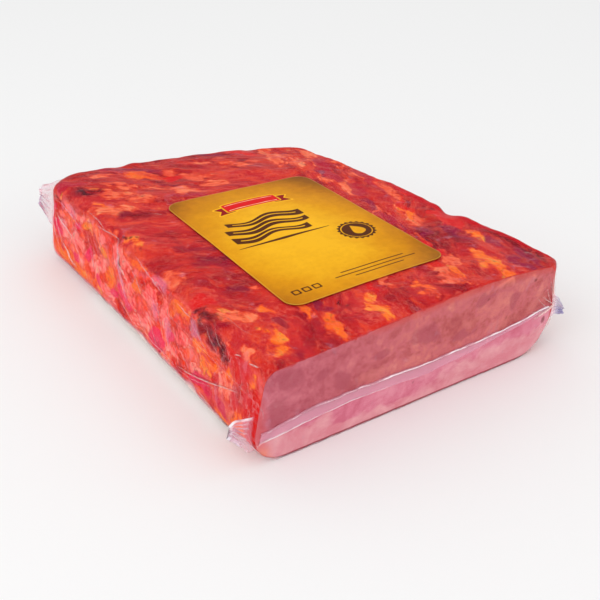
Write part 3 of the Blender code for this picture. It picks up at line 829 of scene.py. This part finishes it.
def gathered_film(name, least, most, size):
    """Film in folds or welded double: whiter and less clear along its ridges, partly its own
    whitening and partly painted highlight, with painted shade in violet where an ear turns under.
    """
    finish = Finish(name)
    mottle = finish.grain(finish.place(), size, 3.0, 0.6)
    mark = (finish.painted("crest") + (mottle - 0.5) * 0.7).rise(0.15, 0.95)
    finish.colour = finish.ramp(mark, {
        0.0: (255, 186, 208), 0.5: (255, 216, 228), 1.0: (255, 248, 252)})
    finish.coat(finish.painted("violet"), (142, 126, 196))
    return finish.surface(
        base_color=finish.colour, roughness=0.18, specular_ior_level=0.3,
        alpha=mark.rise(0.0, 1.0, least, most), normal=finish.bump(mottle, 0.3, 0.4))


def creased_film():
    """A fold of film: pale on its lit flank, darker where it turns under."""
    finish = Finish("creased_film")
    mottle = finish.grain(finish.place(), 2.5, 3.0, 0.6)
    # lilac: a painted reflection
    finish.colour = finish.blend(finish.painted("lilac"), (255, 216, 210), (255, 158, 190))
    finish.coat(finish.painted("shade").rise(0.2, 0.7), (150, 16, 44))
    return finish.surface(
        base_color=finish.colour, roughness=0.14, specular_ior_level=0.35,
        alpha=finish.painted("crest") * mottle.rise(0.34, 0.56, 0.35, 1.0),
        normal=finish.bump(mottle, 0.2, 0.3))


def printed_card(look):
    """Gold card with a painted highlight in its middle and painted shade towards its edges, and
    brown and red print.
    """
    finish = Finish("printed_card")
    place = finish.place()
    cloud, mottle = finish.grain(place, 17, 4.0, 0.6), finish.grain(place, 4, 5.0, 0.7)
    # glow: a painted highlight in the middle of the card, painted shade towards its edges
    tone = finish.painted("glow") + (cloud - 0.5) * 0.3 + (mottle - 0.5) * 0.25
    finish.colour = finish.ramp(tone, {
        0.0: (132, 76, 16), 0.22: look.shaded_gold, 0.46: (196, 122, 16), 0.72: (226, 152, 14),
        1.0: look.gold})
    grime = finish.grain(place, 2.4, 5.0, 0.75, 0.5).rise(0.62, 0.74)
    finish.coat(grime, (150, 96, 30), 0.16)
    finish.coat(finish.painted("inside").rise(0.7, 0.0), (255, 214, 96), 0.35)
    for ink, colour in (("brown_ink", look.brown), ("yellow_ink", (250, 186, 30)),
                        ("red_ink", look.red), ("dark_red_ink", (150, 14, 20)),
                        ("pale_ink", (255, 236, 190))):
        finish.coat(finish.painted(ink).rise(-0.15, 0.15), colour)
    return finish.surface(
        base_color=finish.colour, roughness=0.36, specular_ior_level=0.02,
        normal=finish.bump(finish.grain(place, 0.8, 2.0), 0.08, 0.1))


# ---------------------------------------------------------------- film parts
def band_edges(share):
    """Levels of a welded band's lower and upper edge on the plain block."""
    evenly = np.linspace(0.0, 1.0, 201)
    soft = np.hanning(21) / np.hanning(21).sum()
    edges = []
    for stops in (BAND_LOWER, BAND_UPPER):
        line = np.pad(np.interp(evenly, BAND_STOPS, stops), 10, mode="edge")
        edges.append(np.interp(share, evenly, np.convolve(line, soft, mode="valid")))
    return edges


def slack_of_film(points, ways):
    """How loose the film is: most on the walls and by the ears, least on the top."""
    wall = 1.0 - ease((ways[:, 2] - 0.2) / 0.6)
    cut = on_cut_face(ways)
    left_edge = ease((-points[:, 0] - 78) / 22) * ease((ways[:, 2] - 0.3) / 0.5)
    ends = np.exp(-((np.abs(points[:, 0]) - 100) / 16) ** 2)
    return np.clip(wall * (1.0 - 0.93 * cut) + 0.25 * left_edge + 0.3 * cut * ends, 0.0, 1.0)


def squeezed_along(places, way, keep):
    """Places squeezed along one way, so that noise at them lengthens along it."""
    way = np.array(way)
    return places - (places @ way)[:, None] * way * (1.0 - keep)


def film_sheath(look, cells_across):
    """The film drawn tight over the meat, and its faces as a tree to lay things on."""
    skin = slab_skin(cells_across)
    slack = slack_of_film(skin.outside, skin.ways)
    ripple = noise_at(squeezed_along(skin.smooth, WRINKLE_WAY, 0.2), 6, 2.2)
    ripple = np.maximum(1.0 - np.abs(ripple) / 0.22, 0.0)
    points = skin.outside + skin.ways * (ripple * slack * look.fold_height / MM)[:, None]
    points[:, 2] = np.maximum(points[:, 2], 0.0)
    piece = mesh_piece("film_sheath", points, skin.quads)
    wobble = noise_at(points, 9, 1.4) * 3
    side = points[:, 1:] + np.stack([wobble, -wobble], -1)
    x, y, z = points.T
    # A painted highlight along the film's foot, strongest along the middle of the left side.
    middle = ease((y + 112) / 20) * ease((84 - y) / 30)
    hem = (0.5 + 0.5 * middle) * (0.35 + 0.65 * ease((40 - x) / 80))
    hem *= ease((9 + 2.5 * middle + 0.6 * wobble - z) / 6) * (1.0 - on_cut_face(skin.ways))
    paint(piece, slack=slack, hem=hem,
          # a painted reflection in lilac on the left side
          lilac=ease((-skin.ways[:, 0] - 0.3) / 0.5) * patch_cover(side, SIDE_LILAC))
    return piece, BVHTree.FromPolygons(points.tolist(), skin.quads.tolist())


def meat_slab(look):
    """The bacon itself, just inside the film."""
    skin = slab_skin(look.cells_across)
    squeezed = squeezed_along(skin.smooth, STREAK_WAY, 0.35)
    fibre = np.clip(noise_at(squeezed, 4.2, 4.4) + 0.6 * noise_at(squeezed, 9, 1.9), -1.0, 1.0)
    relief = fibre * look.relief / MM * (1.0 - 0.8 * on_cut_face(skin.ways))
    points = skin.outside + skin.ways * (relief - MEAT_INSET)[:, None]
    piece = mesh_piece("smoked_bacon", points, skin.quads)
    paint_meat(piece, skin.smooth, skin.ways)
    cut = skin.sides == SIDES.index("cut")
    piece.data.polygons.foreach_set("material_index", cut.astype(np.int32))
    return piece


def lay_on(tree, places):
    """The nearest places on the film and the ways out of it there."""
    found = [tree.find_nearest(Vector(place)) for place in places]
    return np.array([hit[0] for hit in found]), np.array([hit[1] for hit in found])


# A weld's section: share of the way from its lower to its upper edge, then the step from there,
# the stand-off and the whiteness, which is partly painted highlight.
WELD_SECTION = np.array((
    (0.0, -0.50, -0.20, 0.0), (0.0, -0.20, 0.35, 0.6), (0.0, 0.0, 0.60, 1.0),
    (0.0, 0.35, 0.35, 0.3), (0.3, 0.0, 0.25, 0.0), (0.7, 0.0, 0.25, 0.0),
    (1.0, -0.40, 0.40, 0.3), (1.0, 0.0, 0.85, 1.0), (1.0, 0.35, 0.45, 0.7),
    (1.0, 0.65, -0.20, 0.0), (0.5, 0.0, -0.35, 0.0)))
WELD_STEPS = 360
# How white the lower and the upper line of a weld are on the way to the right: partly the welded
# film's own whiteness, partly painted highlight, with a painted glint at the left end of the
# lower line.
WELD_LINE_STOPS = (0.0, 0.03, 0.11, 0.16, 0.30, 0.45, 0.55, 0.75, 1.0)
LOWER_LINE = (0.3, 1.9, 2.0, 1.15, 1.0, 0.85, 0.10, 0.0, 0.0)
UPPER_LINE = (0.2, 0.5, 0.60, 0.65, 0.70, 0.90, 0.95, 1.10, 1.2)


def welded_band(name, at_back, tree):
    """A flat weld of film across the cut face or the back, with raised rims."""
    share = np.linspace(0.0, 1.0, WELD_STEPS)
    x = (share - 0.5) * (WIDTH - 2.0 * BAND_END_GAP)
    y = np.full(WELD_STEPS, DEPTH if at_back else 0.0)
    if at_back:
        x, y = round_plan(x, y)
    lower, upper = band_edges(share)
    rows = []
    for way_up, step, _, _ in WELD_SECTION:
        # Far apart in the noise, so that each line of the section wavers alone.
        along = np.stack([x, 0.0 * x, np.full(WELD_STEPS, way_up / MM)], -1)
        step = step * (0.85 + 0.7 * noise_at(along, 9, 5.0)) + 0.4 * noise_at(along, 6, 3.0)
        rows.append(slab_form(x, y, lower + way_up * (upper - lower) + step))
    flat, ways = lay_on(tree, np.stack(rows, 1).reshape(-1, 3))
    stand = np.tile(WELD_SECTION[:, 2], WELD_STEPS)
    stand = np.where(stand > 0.0, stand * (0.85 + 0.5 * noise_at(flat, 6, 6.0)), stand)
    piece = mesh_piece(name, flat + ways * stand[:, None],
                       tube_quads(WELD_STEPS, len(WELD_SECTION)))
    low, high = (np.interp(share, WELD_LINE_STOPS, line)[:, None]
                 for line in (LOWER_LINE, UPPER_LINE))
    # painted highlight over the welded film's own whiteness
    white = np.where(WELD_SECTION[:, 0] < 0.5, low, high) * WELD_SECTION[:, 3]
    crest = white.ravel() * (0.85 + 0.6 * noise_at(flat, 8, 2.0))
    paint(piece, crest=np.clip(crest, 0.0, 1.0))
    return piece


def gathered_ear(name):
    """A fan of folded film at the end of a weld, with a rolled rim."""
    (side, at_back, length, root_high, tip_high, root_level, tip_level,
     body, pleats, rim, violet) = EARS[name]
    rows, columns = 44, 72
    out, round_way = np.meshgrid(np.linspace(0.0, 1.0, rows),
                                 np.linspace(0.0, 1.0, columns, endpoint=False), indexing="ij")
    # Round the folded sheet: up its front and down its back.
    up = 0.5 - np.abs(1.0 - 2.0 * round_way)
    front = np.where(round_way < 0.5, -1.0, 1.0) * np.sqrt(
        np.clip(1.0 - (2.0 * up) ** 8, 0.0, 1.0))
    reach = out * (length + EAR_ROOT_DEPTH) - EAR_ROOT_DEPTH
    free = np.maximum(reach / length, 0.0)
    high = root_high + (tip_high - root_high) * free
    rolled = ease((free - 0.84) / 0.10)
    bead = np.exp(-((0.48 - np.abs(up)) * high / 0.8) ** 2) * ease(free / 0.15)
    rim_share = np.clip((out - 0.93) / 0.07, 0.0, 1.0)
    thick = (0.6 + 0.8 * rolled + 0.6 * bead) * np.sqrt(np.clip(1.0 - rim_share ** 2, 0.02, 1.0))
    # Sharp pleats run out from the root, deepest half way.
    pleat = 6.0 * up + 0.35 * side + 0.25 * np.sin(5.0 * free + 2.0 * side)
    zigzag = 4.0 * np.abs(pleat - np.round(pleat)) - 1.0
    deep = ease(free / 0.4) * (1.0 - 0.5 * rolled)
    ripple = 0.9 * zigzag * deep + 0.4 * np.sin(11.0 * up + 3.0 * free) * free
    ragged = 0.05 * np.sin(9.0 * up + side) + 0.03 * np.sin(23.0 * up)
    x = side * (WIDTH / 2.0 + reach * (1.0 - 0.10 * zigzag * deep + ragged * free))
    y = np.full_like(x, EAR_SET_BACK)
    if at_back:
        x -= side * CORNER[side] * 0.25
        y += DEPTH - CORNER[side] * 0.5
    z = root_level + (tip_level - root_level) * ease(free) + up * high
    points = slab_form(x.ravel(), y.ravel(), z.ravel())
    points[:, 1] += (front * thick / 2.0 + ripple).ravel()
    piece = mesh_piece(name, points, tube_quads(rows, columns))
    # painted highlights on the rolled rim and the pleat ridges, over the body's own whiteness;
    # painted shade in violet where the pleats turn under
    crest = body + rim * (rolled + bead) + pleats * np.maximum(zigzag, 0.0) ** 2 * deep
    under = np.maximum(-zigzag, 0.0) * deep + ease(0.5 - 2.0 * up) * free
    paint(piece, crest=np.clip(crest - 0.2 * (1.0 - deep), 0.0, 1.0).ravel(),
          violet=np.clip(violet * under, 0.0, 1.0).ravel())
    cap_ends(piece)
    return piece


def cap_ends(piece):
    """Closes the open ends of a tube with faces."""
    block = bmesh.new()
    block.from_mesh(piece.data)
    rims = [edge for edge in block.edges if edge.is_boundary]
    bmesh.ops.holes_fill(block, edges=rims, sides=0)
    bmesh.ops.recalc_face_normals(block, faces=block.faces[:])
    block.to_mesh(piece.data)
    block.free()
    piece.data.shade_smooth()


# Folds listed on the film, in millimetres. Each has the side it lies on, its points there, its
# width, its height, and how lilac and how shaded it is.
# Points are y, z on the left side, x, y on the top, and x, z on the cut face.
# A fold's lilac is a painted reflection, its shaded flank painted shade, and its pale crest a
# painted highlight; the short folds on the top stand for glints.
FOLDS = (
    ("left", ((33, 53), (28, 46), (24, 37), (16, 29), (5, 22)), 4.2, 0.6, 0.9, 0.0),
    ("left", ((31, 52), (26, 45), (23, 38)), 1.1, 0.7, 0.1, 0.0),
    ("left", ((110, 20), (102, 18), (94, 13), (85, 12)), 1.6, 0.8, 0.0, 0.0),
    ("left", ((134, 37), (124, 27), (116, 17)), 2.0, 0.6, 0.6, 0.3),
    ("left", ((128, 44), (120, 33), (113, 24), (106, 15)), 1.2, 0.6, 0.1, 0.5),
    ("left", ((119, 38), (110, 34), (101, 31), (92, 28)), 1.6, 0.8, 0.1, 0.0),
    ("left", ((118, 47), (104, 44), (92, 42), (80, 40)), 2.2, 0.5, 0.8, 0.0),
    ("left", ((64, 50), (50, 51), (38, 52), (28, 52)), 0.9, 0.5, 0.2, 0.3),
    ("left", ((10, 52), (-4, 49), (-18, 46), (-30, 43)), 1.1, 0.5, 0.4, 0.3),
    ("left", ((-45, 48), (-54, 47), (-62, 47)), 0.9, 0.5, 0.2, 0.0),
    ("left", ((-50, 13), (-64, 15), (-80, 20), (-98, 27), (-117, 35)), 2.0, 0.7, 0.0, 1.0),
    ("left", ((-48, 11), (-64, 12.5), (-80, 17.5), (-97, 24.5)), 0.8, 0.3, 0.5, 0.0),
    ("left", ((4, 16), (-16, 13), (-36, 13), (-52, 12)), 1.4, 0.4, 0.3, 0.9),
    ("left", ((-22, 38), (-27, 28), (-33, 18)), 1.0, 0.4, 0.3, 0.2),
    ("left", ((-28, 36), (-34, 26), (-42, 17)), 0.8, 0.3, 0.2, 0.0),
    ("left", ((-12, 27), (-18, 20), (-27, 13)), 0.9, 0.4, 0.5, 0.4),
    ("left", ((24, 21), (11, 17), (0, 12)), 0.9, 0.4, 0.2, 0.0),
    ("left", ((-60, 46), (-71, 42), (-82, 36)), 2.0, 0.4, 0.9, 0.0),
    ("left", ((-72, 52), (-80, 46), (-89, 40)), 0.7, 0.3, 0.3, 0.2),
    ("left", ((-78, 53), (-87, 47), (-97, 42)), 0.6, 0.3, 0.2, 0.2),
    ("left", ((-124, 15), (-128, 23), (-127, 32)), 1.3, 0.4, 0.2, 0.0),
    ("left", ((-66, 12), (-80, 10), (-96, 9), (-110, 12)), 1.0, 0.5, 0.0, 0.5),
    ("left", ((-56, 9), (-72, 7), (-90, 6)), 0.8, 0.4, 0.2, 0.0),
    ("top", ((-86, -72), (-83, -84), (-82, -97), (-79, -108)), 0.6, 0.2, 0.0, 0.0),
    ("top", ((-92, -104), (-91, -109)), 1.0, 0.7, 0.0, 0.0),
    ("top", ((-91, -116), (-90, -124)), 1.2, 0.8, 0.0, 0.0),
    ("top", ((95, -111), (98, -116)), 0.7, 0.4, 0.1, 0.0),
    ("top", ((-62, 49), (-58, 44)), 0.8, 0.4, 0.0, 0.0),
    ("top", ((-94, 78), (-93, 62), (-94, 48)), 1.1, 0.4, 0.2, 0.3),
    ("cut", ((-97, 40), (-94, 33), (-94, 26)), 0.9, 0.3, 0.5, 0.3),
    ("cut", ((98, 54), (99, 42), (101, 31)), 1.0, 0.6, 0.1, 0.0),
    ("cut", ((93, 46), (97, 37), (101, 29)), 0.9, 0.4, 0.1, 0.0),
    ("cut", ((88, 38), (95, 31), (101, 28)), 0.9, 0.5, 0.1, 0.0),
    ("cut", ((82, 31), (91, 28.5), (100, 27)), 0.9, 0.5, 0.1, 0.0),
    ("cut", ((86, 24), (94, 26.5), (101, 29), (106, 30.5)), 2.6, 1.0, 0.0, 0.0),
    ("cut", ((99, 44), (101, 37), (103, 31)), 1.4, 0.8, 0.0, 0.0),
    ("cut", ((92, 38), (98, 33), (103, 30)), 1.1, 0.8, 0.1, 0.0),
    ("cut", ((94, 52), (97, 45), (99, 37)), 0.7, 0.3, 0.2, 0.0),
    ("cut", ((100, 13), (102, 19), (102, 25)), 1.2, 0.5, 0.2, 0.5),
    ("cut", ((93, 13), (98, 18), (101, 23)), 1.0, 0.5, 0.1, 0.0),
    ("cut", ((85, 12), (93, 18), (99, 23)), 0.8, 0.3, 0.2, 0.0),
    ("cut", ((-98, 12), (-95, 15), (-88, 16)), 1.4, 0.6, 0.2, 0.0),
)
# The film is cast onto from each side by rays this way.
SIDE_RAYS = {
    "left": (1.0, 0.0, 0.0), "right": (-1.0, 0.0, 0.0), "cut": (0.0, 1.0, 0.0),
    "back": (0.0, -1.0, 0.0), "top": (0.0, 0.0, -1.0),
}
RAY_START, FOLD_STEPS, FEWEST_STEPS = 500.0, 26, 6
# A fold's section: across its width, its height, its cover, and its shaded flank.
FOLD_SECTION = np.array([
    (-0.50, -0.20, 0.0, 0.0), (-0.30, 0.25, 0.35, 0.0), (-0.08, 0.95, 1.0, 0.0),
    (0.10, 0.90, 0.8, 0.3), (0.30, 0.20, 0.5, 1.0), (0.50, -0.20, 0.0, 1.0),
    (0.0, -0.25, 0.0, 0.0)])


def smooth_path(corners, steps):
    """Even steps along a soft curve through a few points (Catmull and Rom's rule)."""
    corners = np.array(corners, float)
    ends = np.vstack([2 * corners[0] - corners[1], corners, 2 * corners[-1] - corners[-2]])
    spans = len(corners) - 1
    place = np.linspace(0.0, spans, steps)
    span = np.minimum(place.astype(int), spans - 1)
    t = (place - span)[:, None]
    a, b, c, d = (ends[span + shift] for shift in range(4))
    return 0.5 * (2 * b + (c - a) * t + (2 * a - 5 * b + 4 * c - d) * t ** 2
                  + (3 * b - a - 3 * c + d) * t ** 3)


def seeded_folds(seed):
    """Finer folds spread over the walls by a rule, most of them towards the ears."""
    draw = np.random.default_rng(seed)
    folds = []
    for side, count, half in (("left", 5, DEPTH / 2.0), ("right", 34, DEPTH / 2.0),
                              ("back", 34, WIDTH / 2.0)):
        for _ in range(count):
            along = draw.uniform(-half + 12, half - 14)
            level = draw.uniform(14, 46)
            pull = -1.0 if side != "back" else math.copysign(1.0, along)
            run = draw.uniform(6, 20) * pull
            drop = draw.uniform(6, 18)
            bend = draw.normal(0.0, 1.6)
            width = draw.uniform(0.7, 1.5)
            path = ((along, level), (along + run * 0.5 + bend, level - drop * 0.5),
                    (along + run, max(level - drop, 3.0)))
            folds.append((side, path, width, 0.5 * width, draw.uniform(0.0, 0.7),
                          draw.choice((0.0, 0.0, 0.6))))
        for end in (-1.0, 1.0):
            for ray in range(7):
                angle = math.radians(-55 + 110 * (ray + draw.uniform(-0.3, 0.3)) / 6)
                root = (end * (half - 7), 25.0)
                reach = draw.uniform(12, 26)
                tip = (root[0] - end * reach * math.cos(angle),
                       root[1] + reach * math.sin(angle) * 0.8)
                if side != "left":
                    folds.append((side, (root, tip), draw.uniform(0.9, 1.6), 0.6, 0.3,
                                  draw.choice((0.0, 0.5))))
    return folds


def film_folds(look, tree):
    """All the small folds of the film, joined in one mesh."""
    points, quads, crest, shade, lilac = [], [], [], [], []
    columns, base = len(FOLD_SECTION), 0
    for side, corners, width, height, lilac_share, shaded in (*FOLDS, *seeded_folds(look.seed)):
        way = np.array(SIDE_RAYS[side])
        starts = np.tile(-RAY_START * way, (FOLD_STEPS, 1))
        starts[:, way == 0.0] = smooth_path(corners, FOLD_STEPS)
        hits = [tree.ray_cast(Vector(start), Vector(way)) for start in starts]
        hits = [hit for hit in hits if hit[0] is not None]
        if len(hits) < FEWEST_STEPS:
            continue
        line, ways = (np.array([hit[part] for hit in hits]) for part in (0, 1))
        run = np.gradient(line, axis=0)
        run /= np.linalg.norm(run, axis=1, keepdims=True)
        across = np.cross(ways, run)
        across /= np.linalg.norm(across, axis=1, keepdims=True)
        taper = np.sin(math.pi * np.linspace(0.02, 0.98, len(line)))[:, None] ** 0.7
        wide = width * (0.35 + 0.65 * taper) * FOLD_SECTION[:, 0]
        high = height * taper * FOLD_SECTION[:, 1]
        rows = line[:, None] + across[:, None] * wide[..., None] + ways[:, None] * high[..., None]
        points.append(rows.reshape(-1, 3))
        quads.append(tube_quads(len(line), columns) + base)
        base += len(points[-1])
        clear = min(0.1 + 0.9 * height, 1.0)
        crest.append((clear * taper * FOLD_SECTION[:, 2]).ravel())
        shade.append(np.tile(FOLD_SECTION[:, 3], len(line)) * shaded)
        lilac.append(np.full(len(points[-1]), lilac_share))
    piece = mesh_piece("film_folds", np.concatenate(points), np.concatenate(quads))
    paint(piece, crest=np.concatenate(crest), shade=np.concatenate(shade),
          lilac=np.concatenate(lilac))
    cap_ends(piece)
    return piece


# ---------------------------------------------------------------- the card
FAR_OFF = 1000.0                # a distance that no shape of the print comes near


def box_field(x, y, half_x, half_y, radius):
    """How far inside a rounded box each place is; negative outside."""
    out_x = np.abs(x) - half_x + radius
    out_y = np.abs(y) - half_y + radius
    outside = np.hypot(np.maximum(out_x, 0.0), np.maximum(out_y, 0.0))
    return radius - outside - np.minimum(np.maximum(out_x, out_y), 0.0)


def banner_print(x, y):
    """A red ribbon banner with folded tails and a yellow border, gently arched."""
    arch = y + 1.2 * (x / 20) ** 2
    front = box_field(x, arch, 19, 5.2, 0.8)
    tails = np.minimum(box_field(np.abs(x) - 20, arch + 2.2, 6, 4.6, 0.3),
                       np.abs(arch + 2.2) * 0.8 + 22.6 - np.abs(x))
    line = 0.4 - np.abs(np.abs(arch) - 3.6)
    return {"yellow_ink": np.where(front > 0.0, -FAR_OFF, np.maximum(front, tails) + 1.2),
            "dark_red_ink": np.where(front > -0.5, -FAR_OFF, tails), "red_ink": front,
            "pale_ink": np.minimum(line, front - 1.4)}


def rasher_print(x, y):
    """Three wavy rashers, each with a bare line in it, and a rule under them."""
    shapes = np.minimum(1.1 - 0.9 * np.abs(x / 26) - np.abs(y + 14), 25 - np.abs(x))
    for row in range(3):
        off = y - (9.5 - 8.0 * row + 1.9 * np.sin(x / 4.4 + 0.8 * row))
        ends = 22 - 1.5 * abs(row - 1) - np.abs(x - 2.5 * (1 - row))
        thick = 2.7 + 0.5 * np.sin(x / 9 + 2.0 * row)
        rasher = np.minimum(thick - np.abs(off), ends)
        bare = np.minimum(0.45 - np.abs(off - 0.3), ends - 3)
        shapes = np.maximum(shapes, np.minimum(rasher, -bare))
    return shapes


def flame_print(x, y):
    """A scalloped brown disc with a ring and a flame left bare."""
    radius = np.hypot(x, y)
    disc = 9.6 + 0.55 * np.cos(20.0 * np.arctan2(y, x)) - radius
    ring = np.abs(radius - 7.9) - 0.3
    rise = (y + 4.6) / 10.2
    wide = 3.6 * np.sin(math.pi * np.clip(rise, 0.0, 1.0) ** 0.62)
    flame = np.abs(x - 0.9 * np.sin(3.6 * rise)) - wide
    flame = np.where((rise > 0.0) & (rise < 1.0), flame, FAR_OFF)
    return np.minimum(disc, np.minimum(ring, flame))


def print_fields(x, y):
    """All the card's print, as distances inside each ink's shapes."""
    brown = [1.25 * rasher_print((x + 12) / 1.25, (y - 13) / 1.25),
             1.2 * flame_print((x - 30) / 1.2, (y + 18) / 1.2)]
    for row, length in enumerate((44, 56, 34)):
        brown.append(box_field(x - 12, y + 57 + 3.6 * row, length / 2.0, 0.45, 0.4))
    for column in range(3):
        place = x + 42 - 6.5 * column, y + 62
        brown.append(np.minimum(box_field(*place, 2.5, 2.5, 0.7),
                                -box_field(*place, 1.5, 1.5, 0.4)))
    return {**banner_print(x + 4, y - 50), "brown_ink": np.maximum.reduce(brown)}


def card():
    """The printed card, laid on the top like its plain solid."""
    across, along = 170, 240
    steps = np.indices((across + 1, along + 1)).reshape(2, -1).T
    places = (steps / (across, along) - 0.5) * LABEL_SIZE
    out = (np.abs(places) - LABEL_SIZE / 2.0) / LABEL_CORNER + 1.0
    out = np.stack(rounded(*out.T), -1)
    places = np.sign(places) * (LABEL_SIZE / 2.0 + (out - 1.0) * LABEL_CORNER)
    x, y = places.T
    height = top_at(*(places + LABEL_CENTRE).T) + LABEL_GAP
    quads = tube_quads(across + 1, along + 1).reshape(across, along + 1, 4)[:, :-1]
    piece = mesh_piece("card_label", np.column_stack([places + LABEL_CENTRE, height]),
                       quads.reshape(-1, 4)[:, [0, 3, 2, 1]])
    # Painted light: a painted highlight a little left of the middle, and painted shade darkest at
    # the two far corners.
    far = np.hypot(*((places + 6) / (LABEL_SIZE * (0.75, 0.72))).T)
    paint(piece, inside=box_field(x, y, *LABEL_SIZE / 2.0, LABEL_CORNER),
          glow=np.clip(1.02 - 0.95 * far ** 2.2, 0.0, 1.0), **print_fields(x, y))
    shell = piece.modifiers.new("card", "SOLIDIFY")
    shell.thickness = LABEL_THICKNESS * MM
    shell.offset = 1.0
    return piece


# ---------------------------------------------------------------- the stage's places
FLOOR_SIZE, FLOOR_LEVEL = 12000.0, -0.2
# Lamps: power as a share of the key lamp's, width and place.
LAMPS = {
    "key_lamp": (1.0, 1100.0, (-1300.0, -350.0, 1100.0)),
    "front_lamp": (0.35, 700.0, (500.0, -1400.0, 700.0)),
}
SENSOR_WIDTH = 36.0
CAMERA_PLACE = Vector((-265.4, -417.8, 290.0))
CAMERA_RIGHT = Vector((0.8346, -0.5507, 0.0153)).normalized()
CAMERA_AHEAD = Vector((0.4809, 0.7147, -0.5079)).normalized()


# ---------------------------------------------------------------- operators
class BACON_OT_meat(bpy.types.Operator):
    """Builds the smoked meat and its cut face"""

    bl_idname = "bacon.meat"
    bl_label = "Smoked meat"

    def execute(self, context):
        look = context.scene.bacon_meat
        piece = meat_slab(look)
        piece.data.materials.append(smoked_skin(look))
        piece.data.materials.append(cut_meat(look))
        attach(piece, "root")
        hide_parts("bacon_pack")
        return {"FINISHED"}


class BACON_OT_film(bpy.types.Operator):
    """Builds the film, its welded bands and its gathered ears"""

    bl_idname = "bacon.film"
    bl_label = "Clear film"

    def execute(self, context):
        look = context.scene.bacon_film
        sheath, tree = film_sheath(look, context.scene.bacon_meat.cells_across)
        dressed = [(sheath, clear_film(look)), (film_folds(look, tree), creased_film())]
        weld = gathered_film("welded_film", 0.36, 0.92, 3)
        for name, at_back in (("weld_front", False), ("weld_back", True)):
            dressed.append((welded_band(name, at_back, tree), weld))
        fold = gathered_film("folded_film", 0.16, 0.90, 4)
        dressed += [(gathered_ear(name), fold) for name in EARS]
        for piece, finish in dressed:
            piece.data.materials.append(finish)
            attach(piece, "root")
            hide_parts("bacon_pack")
        return {"FINISHED"}


class BACON_OT_label(bpy.types.Operator):
    """Builds the printed card on the top"""

    bl_idname = "bacon.label"
    bl_label = "Card label"

    def execute(self, context):
        piece = card()
        piece.data.materials.append(printed_card(context.scene.bacon_label))
        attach(piece, "root")
        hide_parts("label")
        return {"FINISHED"}


class BACON_OT_stage(bpy.types.Operator):
    """Builds the floor, the light and the camera"""

    bl_idname = "bacon.stage"
    bl_label = "Floor, light and camera"

    def execute(self, context):
        look = context.scene.bacon_stage
        bpy.ops.mesh.primitive_plane_add(
            size=FLOOR_SIZE * MM, location=(0.0, 0.0, FLOOR_LEVEL * MM))
        floor = context.object
        floor.name = "floor"
        floor.data.materials.append(Finish("pale_floor").surface(
            base_color=(*look.floor, 1.0), roughness=0.9, specular_ior_level=0.0))
        world = bpy.data.worlds.new("soft_room")
        world.use_nodes = True
        sky = world.node_tree.nodes["Background"]
        sky.inputs["Color"].default_value = (1.0, 1.0, 1.0, 1.0)
        sky.inputs["Strength"].default_value = look.sky
        context.scene.world = world
        for name, (share, width, place) in LAMPS.items():
            self.lamp(name, look.key * share, width * MM, Vector(place) * MM)
        self.camera(context.scene, look.lens)
        context.scene.view_settings.view_transform = "Standard"
        return {"FINISHED"}

    def lamp(self, name, power, size, place):
        """Adds one large soft lamp that looks at the slab."""
        data = bpy.data.lights.new(name, "AREA")
        data.energy = power
        data.size = size
        lamp = bpy.data.objects.new(name, data)
        lamp.location = place
        lamp.rotation_euler = (-place).to_track_quat("-Z", "Y").to_euler()
        bpy.context.scene.collection.objects.link(lamp)

    def camera(self, scene, lens):
        """Stands the camera where the photo was taken from."""
        data = bpy.data.cameras.new("camera")
        data.sensor_width = SENSOR_WIDTH
        data.lens = lens
        camera = bpy.data.objects.new("camera", data)
        up = CAMERA_RIGHT.cross(CAMERA_AHEAD).normalized()
        right = CAMERA_AHEAD.cross(up)
        turn = Matrix((right, up, -CAMERA_AHEAD)).transposed().to_4x4()
        camera.matrix_world = Matrix.Translation(CAMERA_PLACE * MM) @ turn
        scene.collection.objects.link(camera)
        scene.camera = camera


class BACON_PT_panel(bpy.types.Panel):
    """Lists the pieces to build and their settings"""

    bl_idname = "BACON_PT_panel"
    bl_label = "Smoked bacon"
    bl_space_type = "VIEW_3D"
    bl_region_type = "UI"
    bl_category = "Bacon"

    def draw(self, context):
        for group in LOOKS:
            box = self.layout.box()
            box.operator(group.replace("_", "."))
            settings = getattr(context.scene, group)
            for key in settings.__annotations__:
                box.prop(settings, key)


LOOKS = {"bacon_meat": MeatLook, "bacon_film": FilmLook, "bacon_label": LabelLook,
         "bacon_stage": StageLook}
CLASSES = (*LOOKS.values(), BACON_OT_meat, BACON_OT_film, BACON_OT_label, BACON_OT_stage,
           BACON_PT_panel)


def register():
    """Makes the settings, operators and panel known to Blender."""
    for kind in CLASSES:
        bpy.utils.register_class(kind)
    for name, kind in LOOKS.items():
        setattr(bpy.types.Scene, name, PointerProperty(type=kind))


def unregister():
    """Takes the settings, operators and panel away again."""
    for name in LOOKS:
        delattr(bpy.types.Scene, name)
    for kind in reversed(CLASSES):
        bpy.utils.unregister_class(kind)


def main():
    """Builds every piece."""
    register()
    for call in ("stage", "meat", "film", "label"):
        getattr(bpy.ops.bacon, call)()


if __name__ == "__main__":
    main()
